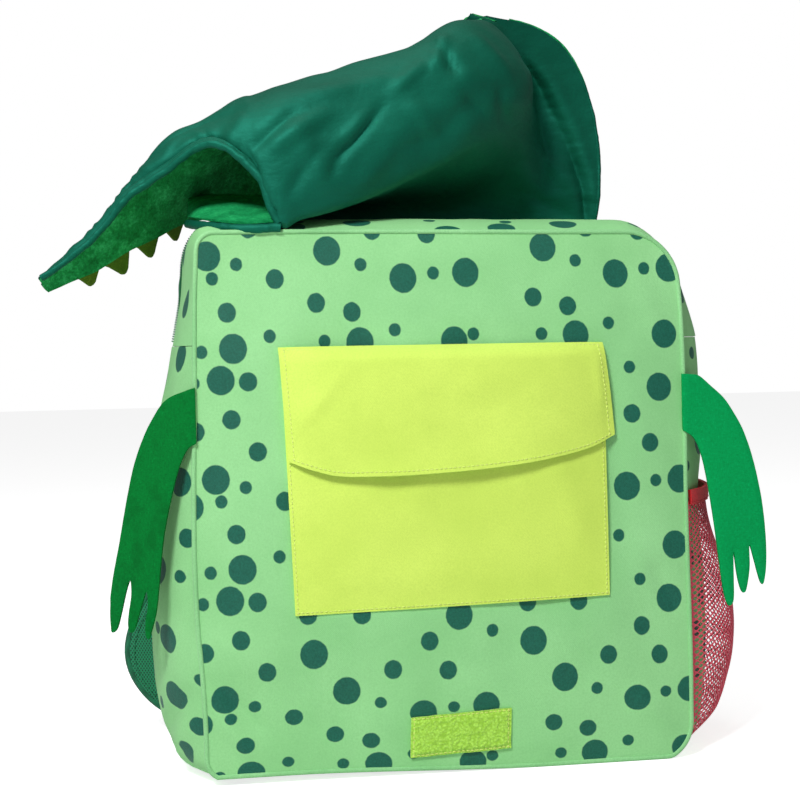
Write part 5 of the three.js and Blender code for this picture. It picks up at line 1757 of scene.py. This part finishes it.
def hang_loop():
    def leg(away, up):
        height = LOOP_BASE + up * LOOP_HEIGHT
        wall = float(back_y(0, min(height, LOOP_BASE))) + BACK_FACE + GAP + LOOP_CLOTH / 2
        return (0, wall + away, height)

    path = route([
        leg(0, -0.3), leg(0, 0), leg(0.1 * LOOP_DEPTH, 0.35), leg(0.3 * LOOP_DEPTH, 0.85),
        leg(0.6 * LOOP_DEPTH, 1), leg(0.95 * LOOP_DEPTH, 0.8), leg(0.9 * LOOP_DEPTH, 0.4),
        leg(LOOP_CLOTH + GAP, 0), leg(LOOP_CLOTH + GAP, -0.3),
    ], 90)
    share = np.linspace(-0.5, 0.5, 14)
    grid = path[:, None] + np.array([1.0, 0, 0]) * (share * LOOP_WIDTH)[None, :, None]
    grid = grid + np.array([0, 0.5, 0]) * (0.5 - 4 * share**2)[None, :, None]
    loop = cloth("carry_loop", grid, LOOP_CLOTH)
    finish(loop, WEBBING_UP, nodes=["hang_loop"])
    end = grid[80:89] + np.array([0, LOOP_CLOTH / 2 + 0.1, 0])
    runs = [end[0, 1:13], end[8, 1:13], end[:, 1], end[:, 12]]
    stitched("loop_stitching", runs, (0, 1, 0), TEAL_THREAD, "teal_cloth")


back_panel()
shoulder_strap("left", -1)
shoulder_strap("right", 1)
hang_loop()

# Zip: coil, slider and pull. The pull turns on the pull body, about the pin through the slider's bridge.

COIL_WIDTH = 4
COIL_PITCH = 1.5
PULL_LENGTH = 24
PULL_WIDTH = 6
PULL_THICKNESS = 1.2
SLIDER_LENGTH = 12
SLIDER_WIDTH = 8
PIN_STAND_OFF = 5.95
PIN_ABOVE = 1


def outwards(normals, points):
    """The normals, each turned to point away from the bag's middle."""
    away = points - np.array([0, 0, BAG_HEIGHT / 2])
    return normals * np.sign(np.einsum("ij,ij->i", normals, away))[:, None]


def zip_coil():
    middle = ZIP_FROM_FRONT + ZIP_TAPE_SHARE / 2
    half = COIL_WIDTH / 2 / TOP_DEPTH
    grid, _, _ = gusset_grid("upper", middle - half, middle + half, 2, 0.5)
    normals = grid_normals(grid)[:, 1]
    path = grid[:, 1]
    side = unit(grid[:, 2] - grid[:, 0])
    lengths = np.concatenate([[0], np.cumsum(np.linalg.norm(np.diff(path, axis=0), axis=1))])
    places = np.arange(3, lengths[-1] - 15, COIL_PITCH)

    points, outs, sides = (interpolated(places, lengths, values) for values in (path, normals, side))
    outs = outwards(outs, points)
    parts = []
    for point, out, across in zip(points, outs, sides):
        loop = [point + across * share * COIL_WIDTH / 2 + out * lift for share, lift in (
            (-1, 0.35), (-0.8, 1.15), (-0.2, 1.55), (0.2, 1.55), (0.8, 1.15), (1, 0.35))]
        parts.append(tube_parts(loop, 0.42, sides=6, step=0.9, facing=out))
    coil = merged("nylon_coil", parts, sharp=60)
    finish(coil, ZIP_PLASTIC, nodes=["zip_coil"])
    for share, name in ((-0.34, "front"), (0.34, "back")):
        first = middle + share * ZIP_TAPE_SHARE
        grid, _, _ = gusset_grid("upper", first, first + 0.01, 1, 0.5)
        normal = outwards(grid_normals(grid)[:, 0], grid[:, 0])
        run = grid[:, 0] + normal * 0.35
        stitched(f"tape_stitching_{name}", [run], normal, GREEN_THREAD, "zip_plastic", radius=0.2)


def zip_frame():
    """The pin's place, the way down the zip and the way out of the wall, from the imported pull."""
    low, high = (np.array(corner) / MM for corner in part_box("zip_pull"))
    joint = next(joint for joint in frame["joints"] if joint["name"] == "zip_pull_swing")
    pin = np.array(joint["pos_m"]) / MM
    reach = PULL_LENGTH - PULL_WIDTH / 2
    lean = math.asin((high[0] - PULL_THICKNESS / 2 - PULL_WIDTH / 2 * 0.24 - pin[0]) / reach * 0.98)
    down = np.array([math.sin(lean), 0, -math.cos(lean)])
    out = np.array([math.cos(lean), 0, math.sin(lean)])
    return pin, down, out


def extruded(outline, hole, centre, wide, down, out, half):
    """A plate from an outline with a window, with its rims rounded; all in the zip's own frame."""
    levels = [(-1.0, 0.35), (-0.8, 0.0), (0.8, 0.0), (1.0, 0.35)]
    rings = []
    for loop, sign in ((outline, -1), (hole, 1)):
        away = unit(loop - loop.mean(0))
        for level, inset in levels:
            flat = loop + away * (sign * inset)
            rings.append(centre + flat[:, :1] * wide + flat[:, 1:] * down + out * (level * half))
    count = len(outline)
    bands = [(0, 1, False), (1, 2, False), (2, 3, False), (4, 5, True), (5, 6, True), (6, 7, True),
             (3, 7, False), (0, 4, True)]
    faces = []
    for near, far, turned in bands:
        for i in range(count):
            j = (i + 1) % count
            quad = [near * count + i, near * count + j, far * count + j, far * count + i]
            faces.append(quad[::-1] if turned else quad)
    return np.concatenate(rings), faces


def pull_outline():
    """The tab's outline and its window: both as rings with the same number of points."""
    angles = np.linspace(0, 2 * math.pi, 64, endpoint=False)
    wide = np.cos(angles)
    long = np.sin(angles)
    half = PULL_WIDTH / 2
    middle = PULL_LENGTH / 2 - 0.3
    reach = PULL_LENGTH / 2 + 0.3
    waist = 1 - 0.22 * np.exp(-(((long * reach) + 1.5) / 5.0) ** 2)
    outer = np.stack([
        squared(wide, 0.45) * half * waist,
        middle + squared(long, 0.72) * reach,
    ], -1)
    window_middle = 0.6 + 4
    inner = np.stack([
        squared(wide, 0.5) * 1.5,
        window_middle + squared(long, 0.6) * 4,
    ], -1)
    return outer, inner


def zip_metalwork():
    pin, down, out = zip_frame()
    wide = np.array([0, 1.0, 0])
    outer, inner = pull_outline()
    points, faces = extruded(outer, inner, pin, wide, down, out, PULL_THICKNESS / 2)
    ribs = []
    for place in (13.5, 15.5, 17.5, 19.5):
        for face in (-1, 1):
            start = pin + down * place + out * (face * PULL_THICKNESS / 2) - wide * 1.5
            ribs.append(tube_parts([start, start + wide * 3.0], 0.3, sides=8, step=0.5))
    tab = merged("pull_tab", [(points, faces), *ribs], sharp=40)
    finish(tab, METAL, body="pull", nodes=["zip_pull"])

    root = pin - out * PIN_STAND_OFF + down * PIN_ABOVE
    parts = []
    for level in (1.9, 4.15):
        angles = np.linspace(0, 2 * math.pi, 48, endpoint=False)
        long = -np.sin(angles)
        width = SLIDER_WIDTH / 2 * (0.82 - 0.18 * long)
        shape = np.stack([squared(np.cos(angles), 0.5) * width, -squared(long, 0.6) * SLIDER_LENGTH / 2], -1)
        parts.append(extruded(shape, shape * 0.02, root + out * level, wide, down, out, 0.55))
    neck = root + out * 3.0 - down * 3.4
    parts.append(tube_parts([neck - out * 1.3, neck + out * 1.3], 1.5, sides=12, step=0.6))
    for edge in (-1, 1):
        rail = [root + out * 2.7 + wide * edge * 3.55 + down * place for place in (-3.5, 0, 5.4)]
        parts.append(tube_parts(rail, 0.55, sides=8, step=0.8, facing=out))
    arch = [root + down * along + out * high for along, high in (
        (-4.6, 4.4), (-4.8, 6.0), (-4.2, 7.4), (-2.6, 8.1), (0, 8.25), (2.6, 8.1), (4.2, 7.4), (4.8, 6.0),
        (4.6, 4.4))]
    parts.append(tube_parts(curve_through(arch, np.linspace(0, 1, 40)), 0.62, sides=10, step=0.5))
    body = merged("slider_body", parts, sharp=40)
    finish(body, METAL, nodes=["zip_slider"])


zip_coil()
zip_metalwork()

# The floor and the light


def studio():
    scene = bpy.context.scene
    size = 6.0
    mesh = bpy.data.meshes.new("floor")
    corners = [(-size, -size, 0), (size, -size, 0), (size, size, 0), (-size, size, 0)]
    mesh.from_pydata(corners, [], [[0, 1, 2, 3]])
    floor = bpy.data.objects.new("floor", mesh)
    scene.collection.objects.link(floor)
    nodes = Nodes("pale_floor")
    nodes.set(Base_Color=(0.9, 0.9, 0.9, 1), Roughness=0.9)
    sight = nodes.add("ShaderNodeLightPath").outputs["Is Camera Ray"]
    nodes.set(Emission_Color=(1, 1, 1, 1), Emission_Strength=nodes.math("MULTIPLY", sight, 0.75))
    mesh.materials.append(nodes.material)
    world = bpy.data.worlds.new("studio")
    scene.world = world
    world.use_nodes = True
    tree = world.node_tree
    background = tree.nodes["Background"]
    background.inputs[0].default_value = (1, 1, 1, 1)
    sight = tree.nodes.new("ShaderNodeLightPath")
    level = tree.nodes.new("ShaderNodeMapRange")
    level.inputs[3].default_value = 0.17
    level.inputs[4].default_value = 1.0
    tree.links.new(sight.outputs["Is Camera Ray"], level.inputs[0])
    tree.links.new(level.outputs[0], background.inputs[1])
    for name, at, power, extent in (
        ("key", (-0.62, -0.95, 1.3), 20, 0.35),
        ("fill", (0.8, -1.2, 1.5), 1.6, 1.0),
        ("top", (-0.2, 0.1, 1.9), 4.5, 1.0),
    ):
        data = bpy.data.lights.new(name, "AREA")
        data.energy = power
        data.size = extent
        lamp = bpy.data.objects.new(name, data)
        scene.collection.objects.link(lamp)
        lamp.location = at
        lamp.rotation_euler = (Vector((-0.02, 0, 0.2)) - Vector(at)).to_track_quat("-Z", "Y").to_euler()
    scene.view_settings.view_transform = "Standard"


# The sheets of cloth: piece, flat width and length, the cut's share of that rectangle where it isn't one,
# how it is held, what holds it, and the separate pieces on it
SHEETS = [
    ("bag_front", BAG_WIDTH + 6, BAG_HEIGHT + 2, None, "stretched", ["bag_gusset"], []),
    ("bag_gusset", BOTTOM_DEPTH, 2.5 * BAG_HEIGHT + 5, None, "stretched", ["back_cloth"], []),
    ("bag_top_front", 60, 420, None, "stretched", ["bag_gusset"], []),
    ("bag_top_back", 32, 420, None, "stretched", ["bag_gusset"], []),
    ("zip_band", ZIP_TAPE_WIDTH, 430, None, "stretched", ["bag_top_front", "bag_top_back"], ["nylon_coil"]),
    ("pocket", POCKET_WIDTH + 1, POCKET_HEIGHT + 1, None, "stretched", ["bag_front"], ["pocket_stitching"]),
    ("pocket_lid", POCKET_WIDTH + 4, 78, None, "hung", ["bag_front"], ["lid_stitching"]),
    ("closure_pile", 62, 27, None, "laid", ["bag_front"], ["closure_stitching"]),
    ("side_net", 140, NET_TOP - 2, 0.65, "gathered", ["bag_gusset"], ["net_binding"]),
    ("net_binding", 10, 140, None, "stretched", ["bag_gusset"], []),
    *[(f"{side}_felt_arm", ARM_REACH + 8, ARM_LENGTH + 10, 0.5, "hung", ["bag_gusset"], [])
      for side in ("left", "right")],
    ("head_inside", 0.9 * BAG_WIDTH, 3 * HEAD_RISE, 0.65, "folded", ["back_cloth"], ["head_hem"]),
    ("head_plush", 0.9 * BAG_WIDTH, 3 * HEAD_RISE, 0.65, "folded", ["head_inside"], ["brim_plush"]),
    ("head_ledge", 85, 65, 0.9, "laid", ["head_inside"], []),
    ("carry_loop", LOOP_WIDTH, 104, None, "folded", ["back_cloth"], ["loop_stitching"]),
    *[(f"strap_anchor_{side}", 18, 54, None, "stretched", ["back_cloth"], [f"anchor_stitching_{side}"])
      for side in ("left", "right")],
    *[(f"webbing_{side}", 20, 48, None, "stretched", [f"ladder_buckle_{side}"], [f"webbing_stitching_{side}"])
      for side in ("left", "right")],
]
TOOTH_CUT = 0.8


def declare_sheets():
    sheets = list(SHEETS)
    for number, (_, width, drop, _) in enumerate(TEETH):
        name = f"felt_tooth_{number + 1}"
        sheets.append((name, width, drop + TOOTH_ROOT, TOOTH_CUT, "hung", ["head_plush"], []))


declare_sheets()
studio()
bpy.context.view_layer.update()
